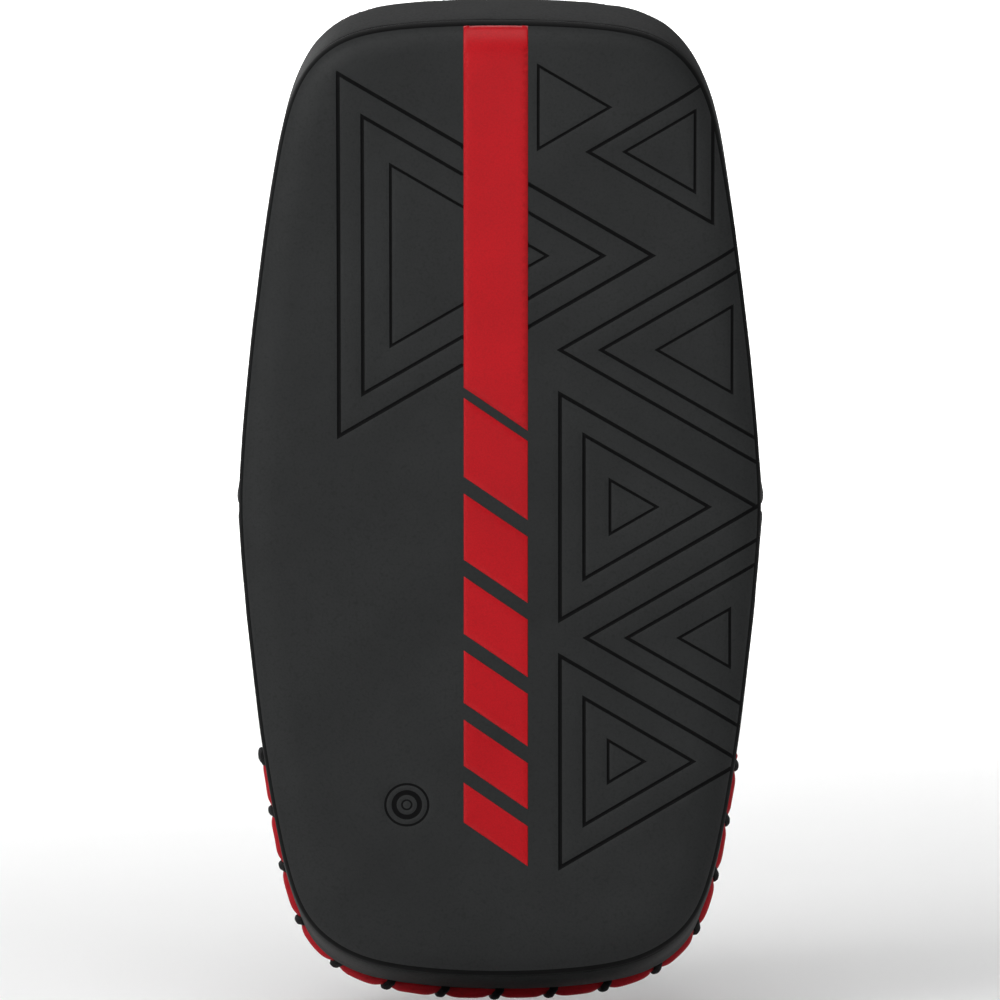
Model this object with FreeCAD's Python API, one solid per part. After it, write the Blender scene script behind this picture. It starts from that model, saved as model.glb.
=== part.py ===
import FreeCAD, Part
import math
import os

# Curved Muay Thai kick pad, hand end up. X runs across the pad, Y from the striking face (-Y) to the
# straps (+Y), Z along the pad. The body is bent about one axis parallel to X, in front of the striking
# face, so the face is hollow along its length and the back is crowned. Millimetres and degrees.
# The design frame has its zero at the middle of the striking face; every solid is moved at the end so
# that the row's origin lies at the middle of the hand grip.

V = FreeCAD.Vector

# ---- driving dimensions -------------------------------------------------------------------------
R_FACE = 975.0        # radius of the striking face along its length
D_SEAM = 10.0         # depth of the face seam behind the face
D_BACK = 78.0         # depth of the back panel's outside behind the face
END_DEG = 10.93       # half angle of the body about the bending axis
EDGE_ROUND = 12.0     # rounding of the striking face's edge
SKIN = 1.6            # cover leather
FILM = 0.3            # printed film on the face
FOAM_GAP = 0.2        # foam to cover
STRIKE_FOAM = 24.0    # depth at the back of the striking foam
SPREADER = 27.0       # depth at the back of the hard spreader sheet
CORE_FOAM = 52.0      # depth at the back of the core foam
LACED_BELOW = -98.0   # the laced edge runs below this height
PIPING_OUT = 2.9      # how far the red piping stands out of the side wall
PIPING_DEEP = 4.2     # thickness of the piping along the depth
LACE_R = 1.5          # lace radius
LACE_PITCH = 21.7     # from one lace crossing to the next
LACE_HOLE_R = 1.75
HAND_Z = 118.0        # height of the hand grip above the middle
GRIP_N = 52.0         # grip axis above the back panel
GRIP_R = 15.0
GRIP_HALF = 57.0
ROD_R = 6.0
EAR_IN = 58.6         # inside face of each handle ear
EAR_THICK = 6.5
STRAP_W = 50.0        # strap width
STRAP_T = 2.4         # strap thickness
STRAP_HEIGHTS = {"upper": 30.0, "lower": -64.0}
BAR_R = 2.0           # ring wire radius
RING_PIN = (68.0, 4.3)   # ring bar held by the tab, across and above the back panel
RING_BAR = (64.5, 27.5)  # ring bar that carries the strap tail

# Half outline of the body, (half width, share of the half length), from hand end to elbow end.
HALF = [(0, 1.0), (19, .998), (36, .993), (47, .986), (56.1, .976), (62.8, .963), (68.1, .945),
        (73.0, .922), (78.0, .886), (81.4, .847), (84.1, .803), (87.3, .723), (89.6, .65),
        (92.05, .57), (94.3, .48), (96.45, .39), (98.5, .3), (100.3, .2), (101.6, .12), (102.8, .02),
        (102.75, -.05), (101.4, -.15), (99.45, -.26), (97.1, -.37), (94.6, -.48), (91.9, -.571),
        (89.2, -.653), (86.1, -.735), (84.1, -.776), (82.0, -.816), (79.1, -.857), (74.7, -.896),
        (68.7, -.9265), (62.0, -.950), (54.8, -.968), (45.5, -.981), (34.2, -.990), (18.0, -.9975),
        (0, -1.0)]
R_REF = R_FACE + 40.0                       # outline lengths are measured at this radius
S_HALF = R_REF * math.radians(END_DEG)


# ---- body outline -------------------------------------------------------------------------------
def resample(points, n):
    """n points evenly spaced along a closed polyline."""
    closed = points + [points[0]]
    cum = [0.0]
    for a, b in zip(closed, closed[1:]):
        cum.append(cum[-1] + math.dist(a, b))
    out, k = [], 0
    for i in range(n):
        want = cum[-1] * i / n
        while cum[k + 1] < want:
            k += 1
        t = (want - cum[k]) / (cum[k + 1] - cum[k])
        out.append((closed[k][0] + t * (closed[k + 1][0] - closed[k][0]),
                    closed[k][1] + t * (closed[k + 1][1] - closed[k][1])))
    return out


def smooth_outline():
    """The outline as a dense smooth closed line of (across, along), clockwise from the hand end."""
    right = [(x, s * S_HALF) for x, s in HALF]
    left = [(-x, s) for x, s in reversed(right[1:-1])]
    n, sigma = 576, 6.0
    pts = resample(right + left, n)
    step = sum(math.dist(pts[i], pts[i - 1]) for i in range(n)) / n
    reach = int(3 * sigma / step)
    kernel = [math.exp(-0.5 * (k * step / sigma) ** 2) for k in range(-reach, reach + 1)]
    total = sum(kernel)
    out = []
    for i in range(n):
        out.append(tuple(sum(kernel[k + reach] * pts[(i + k) % n][c]
                             for k in range(-reach, reach + 1)) / total for c in (0, 1)))
    return out


OUTLINE = smooth_outline()
N_OUT = len(OUTLINE)


def offset_point(i, out):
    """Point i of the outline moved outwards by out."""
    a, b = OUTLINE[(i - 2) % N_OUT], OUTLINE[(i + 2) % N_OUT]
    tx, ts = b[0] - a[0], b[1] - a[1]
    length = math.hypot(tx, ts)
    nx, ns = -ts / length, tx / length
    p = OUTLINE[i % N_OUT]
    return p[0] + nx * out, p[1] + ns * out


def bend(x, s, depth):
    """(across, along, depth behind the face) to the design frame."""
    a = s / R_REF
    r = R_FACE + depth
    return V(x, -R_FACE + r * math.cos(a), r * math.sin(a))


def wire_at(y, out):
    pts = []
    for i in range(0, N_OUT, 8):
        x, s = offset_point(i, out)
        pts.append(V(x, y, (R_FACE + y) * math.tan(s / R_REF)))
    curve = Part.BSplineCurve()
    curve.interpolate(Points=pts, PeriodicFlag=True)
    return Part.Wire([curve.toShape()])


def prism(out):
    """The outline, moved outwards by out, drawn through the whole depth along rays from the axis."""
    return Part.makeLoft([wire_at(-60.0, out), wire_at(130.0, out)], True, True)


def sector(d0, d1, half_x=150.0, half_deg=16.0):
    """The layer between two depths."""
    a = math.radians(half_deg)

    def at(d, t):
        r = R_FACE + d
        return V(-half_x, -R_FACE + r * math.cos(t), r * math.sin(t))

    wire = Part.Wire([Part.Arc(at(d0, -a), at(d0, 0), at(d0, a)).toShape(),
                      Part.makeLine(at(d0, a), at(d1, a)),
                      Part.Arc(at(d1, a), at(d1, 0), at(d1, -a)).toShape(),
                      Part.makeLine(at(d1, -a), at(d0, -a))])
    return Part.Face(wire).extrude(V(2 * half_x, 0, 0))


def body(inset, front, back, rounding):
    """The pad's body, every side inset, with its face edge rounded."""
    solid = prism(-inset).common(sector(front, back))
    front_edges = []
    for e in solid.Edges:
        c = e.CenterOfMass
        p = e.valueAt((e.FirstParameter + e.LastParameter) / 2)
        r = math.hypot(p.y + R_FACE, p.z)
        if abs(r - (R_FACE + front)) < 0.05 and e.Length > 3:
            front_edges.append(e)
    return solid.makeFillet(rounding, front_edges)


def one(shape):
    """The shape as a plain compound of its solids."""
    solids = shape.Solids
    return solids[0] if len(solids) == 1 else Part.makeCompound(solids)


def box(x0, x1, y0, y1, z0, z1):
    return Part.makeBox(x1 - x0, y1 - y0, z1 - z0, V(x0, y0, z0))


PARTS = {}

outer = body(0.0, 0.0, D_BACK, EDGE_ROUND)
inner = body(SKIN, SKIN, D_BACK - SKIN, EDGE_ROUND - SKIN)
shell = outer.cut(inner)
PARTS["face_cover"] = one(shell.common(sector(-5.0, D_SEAM)))
wall = shell.common(sector(D_SEAM, D_BACK - SKIN))
PARTS["upper_gusset"] = one(wall.common(box(-150, 150, -80, 150, 0, 260)))
PARTS["lower_gusset"] = one(wall.common(box(-150, 150, -80, 150, -260, 0)))
PARTS["back_panel"] = one(shell.common(sector(D_BACK - SKIN, D_BACK + 5)))

# foam layers, cut from one block
foam_in = SKIN + FOAM_GAP
foam = body(foam_in, foam_in, D_BACK - foam_in, EDGE_ROUND - foam_in)
rebate = prism(5.0).cut(prism(-12.0)).common(sector(65.0, D_BACK + 4)).common(
    box(-150, 150, -80, 150, -260, LACED_BELOW + 4))
foam = foam.cut(rebate)
PARTS["foam_strike_layer"] = one(foam.common(sector(-5, STRIKE_FOAM)))
PARTS["foam_spreader_sheet"] = one(foam.common(sector(STRIKE_FOAM, SPREADER)))
PARTS["foam_core_layer"] = one(foam.common(sector(SPREADER, CORE_FOAM)))
PARTS["foam_rear_layer"] = one(foam.common(sector(CORE_FOAM, D_BACK + 5)))

# printed film: one long stripe with a slanted end and shorter slanted bars below it
FILM_X = (-14.2, 10.9)
FILM_SLANT = 17.0
FILM_BARS = [(215.0, 43.5), (39.5, 8.5), (2.0, -24.0), (-30.5, -53.0), (-59.5, -80.0),
             (-86.5, -104.5), (-111.0, -126.5)]
film_body = body(-FILM, -FILM, D_BACK, EDGE_ROUND + FILM).cut(outer).common(sector(-5, D_SEAM - 0.4))
bars = []
for k, (top, bottom) in enumerate(FILM_BARS):
    rise = 0.0 if k == 0 else FILM_SLANT
    pts = [V(FILM_X[0], -60, top), V(FILM_X[1], -60, top - rise),
           V(FILM_X[1], -60, bottom - FILM_SLANT), V(FILM_X[0], -60, bottom), V(FILM_X[0], -60, top)]
    bars.append(Part.Face(Part.makePolygon(pts)).extrude(V(0, 90, 0)))
PARTS["stripe_film"] = one(Part.makeCompound([s for b in bars for s in film_body.common(b).Solids]))

# ---- laced elbow edge ---------------------------------------------------------------------------
below = box(-150, 150, -80, 150, -260, LACED_BELOW)
PARTS["edge_piping"] = one(prism(PIPING_OUT).cut(prism(0.0)).common(
    sector(D_BACK - 0.3 - PIPING_DEEP, D_BACK - 0.3)).common(below))


def polyline_tube(points, radius, corner):
    """A round tube along straight runs joined by tangent arcs."""
    edges, start = [], points[0]
    for a, b, c in zip(points, points[1:], points[2:]):
        u, w = (a - b).normalize(), (c - b).normalize()
        half = math.acos(max(-1, min(1, u.dot(w)))) / 2
        cut = corner / math.tan(half)
        cut = min(cut, 0.45 * (a - b).Length, 0.45 * (c - b).Length)
        r = cut * math.tan(half)
        p, q = b + u * cut, b + w * cut
        mid_dir = (u + w).normalize()
        centre = b + mid_dir * (r / math.sin(half))
        mid = centre - mid_dir * r
        edges.append(Part.makeLine(start, p))
        edges.append(Part.Arc(p, mid, q).toShape())
        start = q
    edges.append(Part.makeLine(start, points[-1]))
    wire = Part.Wire(edges)
    d = (points[1] - points[0]).normalize()
    ring = Part.Wire([Part.makeCircle(radius, points[0], d)])
    tube = wire.makePipeShell([ring], True, False)
    return tube, wire.Length


def lace_stations():
    """Outline indexes of the lace crossings, from the left start round the elbow end to the right."""
    step = sum(math.dist(OUTLINE[i], OUTLINE[i - 1]) for i in range(N_OUT)) / N_OUT
    lower = [i for i in range(N_OUT) if OUTLINE[i][1] < LACED_BELOW + 2.0 - 4.0]
    first, last = lower[0], lower[-1]        # right side to left side, clockwise
    length = (last - first) * step
    n = int(length // LACE_PITCH) + 1
    spare = length - (n - 1) * LACE_PITCH
    return [first + (spare / 2 + k * LACE_PITCH) / step for k in range(n)], step


def outline_at(f, out):
    i = int(math.floor(f))
    a, b = offset_point(i, out), offset_point(i + 1, out)
    t = f - i
    return a[0] + t * (b[0] - a[0]), a[1] + t * (b[1] - a[1])


def edge_point(f, out, depth):
    x, s = outline_at(f, out)
    return bend(x, s, depth)


stations, out_step = lace_stations()
HOLE_D = 69.0
BACK_IN = -8.5
slant = 4.0 / out_step
lace_points, wall_holes, back_holes = [], [], []
for k, f in enumerate(stations):
    g = f + slant
    lace_points += [edge_point(f, -5.2, HOLE_D), edge_point(f, 2.2, HOLE_D),
                    edge_point(f + 0.5 * slant, PIPING_OUT + 1.9, D_BACK - 4.6),
                    edge_point(f + 0.6 * slant, PIPING_OUT + 1.9, D_BACK + 1.8),
                    edge_point(g, BACK_IN, D_BACK + 1.8), edge_point(g, BACK_IN, D_BACK - 6.0)]
    wall_holes.append((edge_point(f, -6.0, HOLE_D), edge_point(f, 4.0, HOLE_D)))
    back_holes.append((edge_point(g, BACK_IN, D_BACK - 8.0), edge_point(g, BACK_IN, D_BACK + 5.0)))
lace, LACE_LENGTH = polyline_tube(lace_points, LACE_R, 2.0)
print("lace: crossings", len(stations), "length", round(LACE_LENGTH, 1), "valid", lace.isValid(),
      "volume", round(lace.Volume, 1), "section times length",
      round(math.pi * LACE_R ** 2 * LACE_LENGTH, 1))
PARTS["edge_lace"] = one(lace)


def drill(shape, holes):
    """The shape with a row of square lace slots."""
    w = 2 * LACE_HOLE_R
    slots = []
    for a, b in holes:
        slot = Part.makeBox(w, w, (b - a).Length, V(-w / 2, -w / 2, 0))
        slot.Placement = FreeCAD.Placement(a, FreeCAD.Rotation(V(0, 0, 1), b - a))
        slots.append(slot)
    return one(shape.cut(slots))


PARTS["lower_gusset"] = drill(PARTS["lower_gusset"], wall_holes)
PARTS["back_panel"] = drill(PARTS["back_panel"], back_holes)


# ---- things on the back -------------------------------------------------------------------------
def local_frame(height):
    """Angle of the back panel's surface at a height, and the point on it above the middle line."""
    r = R_FACE + D_BACK
    a = math.asin(height / r)
    return math.degrees(a), V(0, -R_FACE + r * math.cos(a), height)


def place(shape, height):
    """From the panel's local frame (across, out of the panel, along the panel) to the design frame."""
    deg, at = local_frame(height)
    moved = shape.copy()
    moved.rotate(V(0, 0, 0), V(1, 0, 0), deg)
    moved.translate(at)
    return moved


def rounded_rect(x0, x1, z0, z1, r, y=0.0):
    wire = Part.makePolygon([V(x0, y, z0), V(x1, y, z0), V(x1, y, z1), V(x0, y, z1), V(x0, y, z0)])
    solid = Part.Face(wire).extrude(V(0, 1, 0))
    upright = [e for e in solid.Edges if abs(e.tangentAt(e.FirstParameter).y) > 0.99]
    filleted = solid.makeFillet(r, upright)
    face = [f for f in filleted.Faces if abs(f.normalAt(0, 0).y + 1) < 1e-6
            and abs(f.CenterOfMass.y - y) < 1e-6][0]
    return face.OuterWire


def cushion(x_half, z0, z1, thick, corner, rounding, inset=0.0):
    """A cushion that lies on the back panel, with a rounded top edge."""
    wire = rounded_rect(-x_half + inset, x_half - inset, z0 + inset, z1 - inset,
                        max(corner - inset, 2.0), 40.0)
    block = Part.Face(wire).extrude(V(0, 90, 0))
    solid = block.common(sector(D_BACK, D_BACK + thick - inset))
    top = []
    for e in solid.Edges:
        p = e.valueAt((e.FirstParameter + e.LastParameter) / 2)
        if abs(math.hypot(p.y + R_FACE, p.z) - (R_FACE + D_BACK + thick - inset)) < 0.05:
            top.append(e)
    return solid.makeFillet(rounding - inset * 0.6, top)


cover_out = cushion(51.0, -166.0, 68.0, 18.0, 22.0, 8.0)
cover_in = cushion(51.0, -166.0, 68.0, 18.0, 22.0, 8.0, 1.4)
PARTS["forearm_cushion_cover"] = one(cover_out.cut(cover_in))
PARTS["forearm_cushion_foam"] = one(cover_in)
hand_out = cushion(54.0, 80.0, 158.0, 10.0, 14.0, 5.0)
hand_in = cushion(54.0, 80.0, 158.0, 10.0, 14.0, 5.0, 1.4)
PARTS["hand_cushion_cover"] = one(hand_out.cut(hand_in))
PARTS["hand_cushion_foam"] = one(hand_in)

under = sector(-80.0, D_BACK, 150, 16)     # everything under the back panel's outside

# handle: two ears with foot flanges, a rod, a padded sleeve that turns on the rod
EAR_W = 46.0
EAR_TOP_R = 17.0


def ear(side):
    x0 = EAR_IN if side > 0 else -EAR_IN - EAR_THICK
    pts = [V(x0, -3, -EAR_W / 2 - 5), V(x0, -3, EAR_W / 2 + 5)]
    top = Part.makeCylinder(EAR_TOP_R, EAR_THICK, V(x0, GRIP_N, 0), V(1, 0, 0))
    ang = math.radians(14)
    tl = V(x0, GRIP_N + EAR_TOP_R * math.sin(ang), -EAR_TOP_R * math.cos(ang))
    tr = V(x0, GRIP_N + EAR_TOP_R * math.sin(ang), EAR_TOP_R * math.cos(ang))
    blade = Part.Face(Part.makePolygon([pts[0], pts[1], tr, tl, pts[0]])).extrude(V(EAR_THICK, 0, 0))
    ear_solid = blade.fuse(top).removeSplitter()
    ear_solid = ear_solid.cut(Part.makeCylinder(ROD_R, EAR_THICK + 2, V(x0 - 1, GRIP_N, 0), V(1, 0, 0)))
    return ear_solid


def flange(side):
    x0, x1 = (EAR_IN + EAR_THICK - 2.0, 82.0) if side > 0 else (-82.0, -EAR_IN - EAR_THICK + 2.0)
    return box(x0, x1, -2, 3.2, -EAR_W / 2 - 5, EAR_W / 2 + 5)


RIVETS_Z = (-19.0, 19.0)
FLANGE_RIVET_X = 74.0
for side, name in ((-1, "handle_ear_left"), (1, "handle_ear_right")):
    solid = place(ear(side).fuse(flange(side)).removeSplitter(), HAND_Z).cut(under)
    for z in RIVETS_Z:
        solid = solid.cut(place(Part.makeCylinder(2.0, 12, V(side * FLANGE_RIVET_X, -4, z), V(0, 1, 0)), HAND_Z))
    PARTS[name] = one(solid)

rod_half = EAR_IN + EAR_THICK
rod = Part.makeCylinder(ROD_R, 2 * rod_half, V(-rod_half, GRIP_N, 0), V(1, 0, 0))
PARTS["handle_rod"] = place(rod, HAND_Z)


def washer_cap(side):
    x = side * rod_half
    plate = Part.makeCylinder(10.0, 1.2, V(x, GRIP_N, 0), V(side, 0, 0))
    head = Part.makeCylinder(7.0, 2.6, V(x + side * 1.2, GRIP_N, 0), V(side, 0, 0))
    head = head.makeFillet(2.0, [e for e in head.Edges if abs(e.CenterOfMass.x - (x + side * 3.8)) < 0.01
                                 and e.Length > 20])
    return plate.fuse(head).removeSplitter()


PARTS["handle_end_caps"] = one(Part.makeCompound([place(washer_cap(s), HAND_Z) for s in (-1, 1)]))


def tube(r_in, r_out, half):
    a = Part.makeCylinder(r_out, 2 * half, V(-half, GRIP_N, 0), V(1, 0, 0))
    return a.cut(Part.makeCylinder(r_in, 2 * half + 2, V(-half - 1, GRIP_N, 0), V(1, 0, 0)))


PARTS["grip_foam"] = place(tube(ROD_R + 0.06, GRIP_R - 1.6, GRIP_HALF - 1.5), HAND_Z)
cover_tube = Part.makeCylinder(GRIP_R, 2 * GRIP_HALF, V(-GRIP_HALF, GRIP_N, 0), V(1, 0, 0))
cover_tube = cover_tube.makeFillet(4.0, [e for e in cover_tube.Edges if abs(abs(e.CenterOfMass.x) - GRIP_HALF) < 0.01])
cover_tube = cover_tube.cut(Part.makeCylinder(GRIP_R - 1.6, 2 * (GRIP_HALF - 1.5), V(-GRIP_HALF + 1.5, GRIP_N, 0), V(1, 0, 0)))
cover_tube = cover_tube.cut(Part.makeCylinder(ROD_R + 0.3, 2 * GRIP_HALF + 2, V(-GRIP_HALF - 1, GRIP_N, 0), V(1, 0, 0)))
PARTS["grip_cover"] = place(cover_tube, HAND_Z)


def rivet(x, z, base=-4.9, top=3.2, r_head=5.0, head=1.5, shank=1.95):
    """A domed rivet from under the backing plate up through the ear's foot."""
    cap = Part.makeCylinder(r_head, head, V(x, top, z), V(0, 1, 0))
    cap = cap.makeFillet(head * 0.8, [e for e in cap.Edges if abs(e.CenterOfMass.y - (top + head)) < 0.01
                                      and e.Length > 2 * r_head])
    tail = Part.makeCylinder(3.4, 0.7, V(x, base - 0.7, z), V(0, 1, 0))
    return cap.fuse(Part.makeCylinder(shank, top - base, V(x, base, z), V(0, 1, 0))).fuse(tail).removeSplitter()


handle_rivets, plates, pockets = [], [], []
for side in (-1, 1):
    lo, hi = sorted((side * 67.0, side * 81.0))
    plate = box(lo, hi, -4.9, -2.1, -26.0, 26.0)
    pocket = box(lo - 0.2, hi + 0.2, -5.8, 0.5, -26.2, 26.2)
    for z in RIVETS_Z:
        hole = Part.makeCylinder(2.0, 14, V(side * FLANGE_RIVET_X, -8, z), V(0, 1, 0))
        plate = plate.cut(hole)
        handle_rivets.append(place(rivet(side * FLANGE_RIVET_X, z), HAND_Z))
        PARTS["back_panel"] = one(PARTS["back_panel"].cut(place(hole, HAND_Z)))
    plates.append(place(plate, HAND_Z))
    pockets.append(place(pocket, HAND_Z))
PARTS["handle_rivets"] = one(Part.makeCompound(handle_rivets))
PARTS["handle_backing_plates"] = one(Part.makeCompound(plates))
for p in pockets:
    PARTS["foam_rear_layer"] = one(PARTS["foam_rear_layer"].cut(p))

# ---- straps -------------------------------------------------------------------------------------
# Section of a strap in the panel's frame: (across, above the panel). The web starts flat on the panel at
# the left, arches over the forearm and ends above the ring on the right. The tail is sewn in a loop round
# the ring's bar and lies on the web's outer face.
ARCH = [(-88.0, 1.25), (-79.0, 1.25), (-70.0, 1.5), (-63.5, 5.0), (-60.5, 14.0), (-58.0, 27.0), (-51.5, 41.0),
        (-39.0, 53.0), (-21.0, 60.5), (0.0, 62.6), (20.0, 61.2), (37.0, 56.0), (50.0, 47.5), (57.6, 38.5)]
N_LINE = 120
WEB_END = 111         # the web ends at this step of the line
TAIL_TIP = 64         # the tail ends at this step
TAB_TIP, TAB_ROOT = 56, 73
LOOP_FROM = 44
LINING = (36, 104)
LOOP_T = 0.9          # hook and loop thickness
PLAY = 0.3            # web's loop face to tail's hook face
LINING_T = 3.8


def spline_points(points, n):
    curve = Part.BSplineCurve()
    curve.interpolate(Points=[V(x, y, 0) for x, y in points])
    edge = curve.toShape()
    out = []
    for i in range(n + 1):
        u = edge.getParameterByLength(min(edge.Length * i / n, edge.Length - 1e-7))
        p, t = edge.valueAt(u), edge.tangentAt(u)
        out.append((p.x, p.y, t.x, t.y))
    return out, edge.Length


def strip(line, low, high, half_z, every=4):
    """A strap layer: the line moved by low and by high to its outer side, drawn out across the strap."""
    keep = list(range(0, len(line), every))
    if keep[-1] != len(line) - 1:
        if len(line) - 1 - keep[-1] < every / 2:
            keep.pop()
        keep.append(len(line) - 1)
    rows = [line[k] for k in keep]
    a = [V(x - ty * low, y + tx * low, -half_z) for x, y, tx, ty in rows]
    b = [V(x - ty * high, y + tx * high, -half_z) for x, y, tx, ty in rows]
    ca, cb = Part.BSplineCurve(), Part.BSplineCurve()
    ca.interpolate(Points=a)
    cb.interpolate(Points=list(reversed(b)))
    wire = Part.Wire([ca.toShape(), Part.makeLine(a[-1], b[-1]), cb.toShape(), Part.makeLine(b[0], a[0])])
    return Part.Face(wire).extrude(V(0, 0, 2 * half_z))


arch, ARCH_LENGTH = spline_points(ARCH, N_LINE)
ARCH_STEP = ARCH_LENGTH / N_LINE
HW = STRAP_W / 2
HT = STRAP_T / 2
bar_x, bar_y = RING_BAR
pin_x, pin_y = RING_PIN
end_x, end_y, end_tx, end_ty = arch[-1]
TO_BAR = (bar_x - end_x) * end_tx + (bar_y - end_y) * end_ty      # from the line's end to the bar
FOLD_R = BAR_R + 0.3 + HT                                          # tail's middle round the bar


def arch_at(t, off):
    """Point at t mm past the line's end (negative: before it), moved by off to the outer side."""
    if t >= 0:
        return end_x + end_tx * t - end_ty * off, end_y + end_ty * t + end_tx * off
    k = N_LINE + t / ARCH_STEP
    i = int(math.floor(k))
    f = k - i
    x, y, tx, ty = [arch[i][c] * (1 - f) + arch[i + 1][c] * f for c in range(4)]
    return x - ty * off, y + tx * off


def arc_band(cx, cy, r0, r1, a0, a1, half_z):
    def at(r, deg):
        t = math.radians(deg)
        return V(cx + r * math.cos(t), cy + r * math.sin(t), -half_z)
    m = (a0 + a1) / 2
    wire = Part.Wire([Part.Arc(at(r0, a0), at(r0, m), at(r0, a1)).toShape(), Part.makeLine(at(r0, a1), at(r1, a1)),
                      Part.Arc(at(r1, a1), at(r1, m), at(r1, a0)).toShape(), Part.makeLine(at(r1, a0), at(r0, a0))])
    return Part.Face(wire).extrude(V(0, 0, 2 * half_z))


def ring_solid():
    """A rectangular wire loop: one long bar in the tab, the other in the tail."""
    half = HW + 3.6
    corner = 3.4
    pts = [V(pin_x, pin_y, -half), V(bar_x, bar_y, -half), V(bar_x, bar_y, half), V(pin_x, pin_y, half)]
    corners = []
    for i in range(4):
        p, q, w = pts[i - 1], pts[i], pts[(i + 1) % 4]
        u1, u2 = (p - q).normalize(), (w - q).normalize()
        mid = q + (u1 + u2) * corner - (u1 + u2).normalize() * corner
        corners.append((q + u1 * corner, mid, q + u2 * corner))
    edges = []
    for i in range(4):
        edges.append(Part.makeLine(corners[i][2], corners[(i + 1) % 4][0]))
        edges.append(Part.Arc(*corners[(i + 1) % 4]).toShape())
    path = Part.Wire(edges)
    start = edges[0]
    profile = Part.Wire([Part.makeCircle(BAR_R, start.valueAt(start.FirstParameter),
                                         start.tangentAt(start.FirstParameter))])
    return path.makePipeShell([profile], True, False)


TAIL_OFF = HT + LOOP_T + PLAY + LOOP_T + HT       # tail's middle from the web's middle
tail_points = [(arch[i][0] - arch[i][3] * TAIL_OFF, arch[i][1] + arch[i][2] * TAIL_OFF)
               for i in range(TAIL_TIP, N_LINE + 1, 4)]
tail_points += [arch_at(4.0, TAIL_OFF - 0.35), arch_at(8.0, FOLD_R + 0.18), arch_at(TO_BAR - 2.2, FOLD_R + 0.02),
                arch_at(TO_BAR, FOLD_R)]
tail_line, TAIL_LENGTH = spline_points(tail_points, 60)
under_off = TAIL_OFF - STRAP_T
under_points = [arch_at(-9.5, under_off), arch_at(-6.0, under_off), arch_at(-2.5, under_off - 0.1),
                arch_at(1.5, under_off - 1.0), arch_at(5.5, -1.0), arch_at(9.0, -2.9),
                arch_at(TO_BAR - 1.6, -FOLD_R + 0.04), arch_at(TO_BAR, -FOLD_R)]
under_line, UNDER_LENGTH = spline_points(under_points, 28)
pull_deg = math.degrees(math.atan2(end_ty, end_tx))

web = strip(arch[:WEB_END + 1], -HT, HT, HW)
loop_patch = strip(arch[LOOP_FROM:WEB_END - 1], HT, HT + LOOP_T, HW - 1.5)
lining = strip(arch[LINING[0]:LINING[1] + 1], -HT - LINING_T, -HT, HW - 2.0)
tail = strip(tail_line, -HT, HT, HW).fuse(
    arc_band(bar_x, bar_y, FOLD_R - HT, FOLD_R + HT, pull_deg - 90.0, pull_deg + 90.0, HW)).fuse(
    strip(under_line, -HT, HT, HW)).removeSplitter()
hook_patch = strip(arch[TAIL_TIP + 2:WEB_END - 4], HT + LOOP_T + PLAY, TAIL_OFF - HT, HW - 1.5)
pull_tab = Part.makeCompound([
    strip(arch[TAB_TIP:TAB_ROOT + 1], TAIL_OFF + HT, TAIL_OFF + HT + 1.2, HW - 5.0, 2),
    strip(arch[TAB_TIP:TAIL_TIP], TAIL_OFF - HT + 0.1, TAIL_OFF + HT - 0.02, HW - 5.0, 2)])
ring_body = ring_solid()
TAB_T = 1.6
TAB_R = BAR_R + 0.3
top_line, _ = spline_points([(pin_x, pin_y + TAB_R + TAB_T / 2), (pin_x + 3, pin_y + TAB_R + TAB_T / 2 - 0.2),
                             (75.5, 5.4), (79.0, 3.25), (82.0, 2.85), (88.0, 2.85)], 30)
ring_tab = arc_band(pin_x, pin_y, TAB_R, TAB_R + TAB_T, 90.0, 270.0, HW - 0.4).fuse(
    strip(top_line, -TAB_T / 2, TAB_T / 2, HW - 0.4, 3)).fuse(
    box(pin_x, 88.0, -0.6, pin_y - TAB_R, -HW + 0.4, HW - 0.4)).removeSplitter()


def patch(x0, x1, height, room, half_z, r=3.5):
    """A leather patch sewn down over the end of a strap or tab."""
    solid = box(x0, x1, -2.0, height, -half_z, half_z)
    solid = solid.makeFillet(r, [e for e in solid.Edges if abs(e.tangentAt(e.FirstParameter).y) > 0.99])
    return solid.cut(room)


left_patch = patch(-91.0, -70.5, 4.0, box(-88.2, -60.0, -3.0, 2.55, -HW - 0.1, HW + 0.1), 30.0)
right_patch = patch(81.5, 92.0, 5.0, box(70.0, 88.2, -3.0, 3.7, -HW + 0.3, HW - 0.3), 30.0)

for name, height in STRAP_HEIGHTS.items():
    p = "strap_" + name
    PARTS[p + "_web"] = one(place(web, height).cut(under))
    PARTS[p + "_loop_patch"] = one(place(loop_patch, height))
    PARTS[p + "_lining"] = one(place(lining, height))
    PARTS[p + "_web_anchor"] = one(place(left_patch, height).cut(under).cut(PARTS[p + "_web"]))
    PARTS[p + "_ring_tab"] = one(place(ring_tab, height).cut(under))
    PARTS[p + "_ring_anchor"] = one(place(right_patch, height).cut(under).cut(PARTS[p + "_ring_tab"]))
    PARTS[p + "_ring"] = one(place(ring_body, height))
    PARTS[p + "_tail"] = one(place(tail, height))
    PARTS[p + "_hook_patch"] = one(place(hook_patch, height))
    PARTS[p + "_pull_tab"] = one(place(pull_tab, height))

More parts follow.
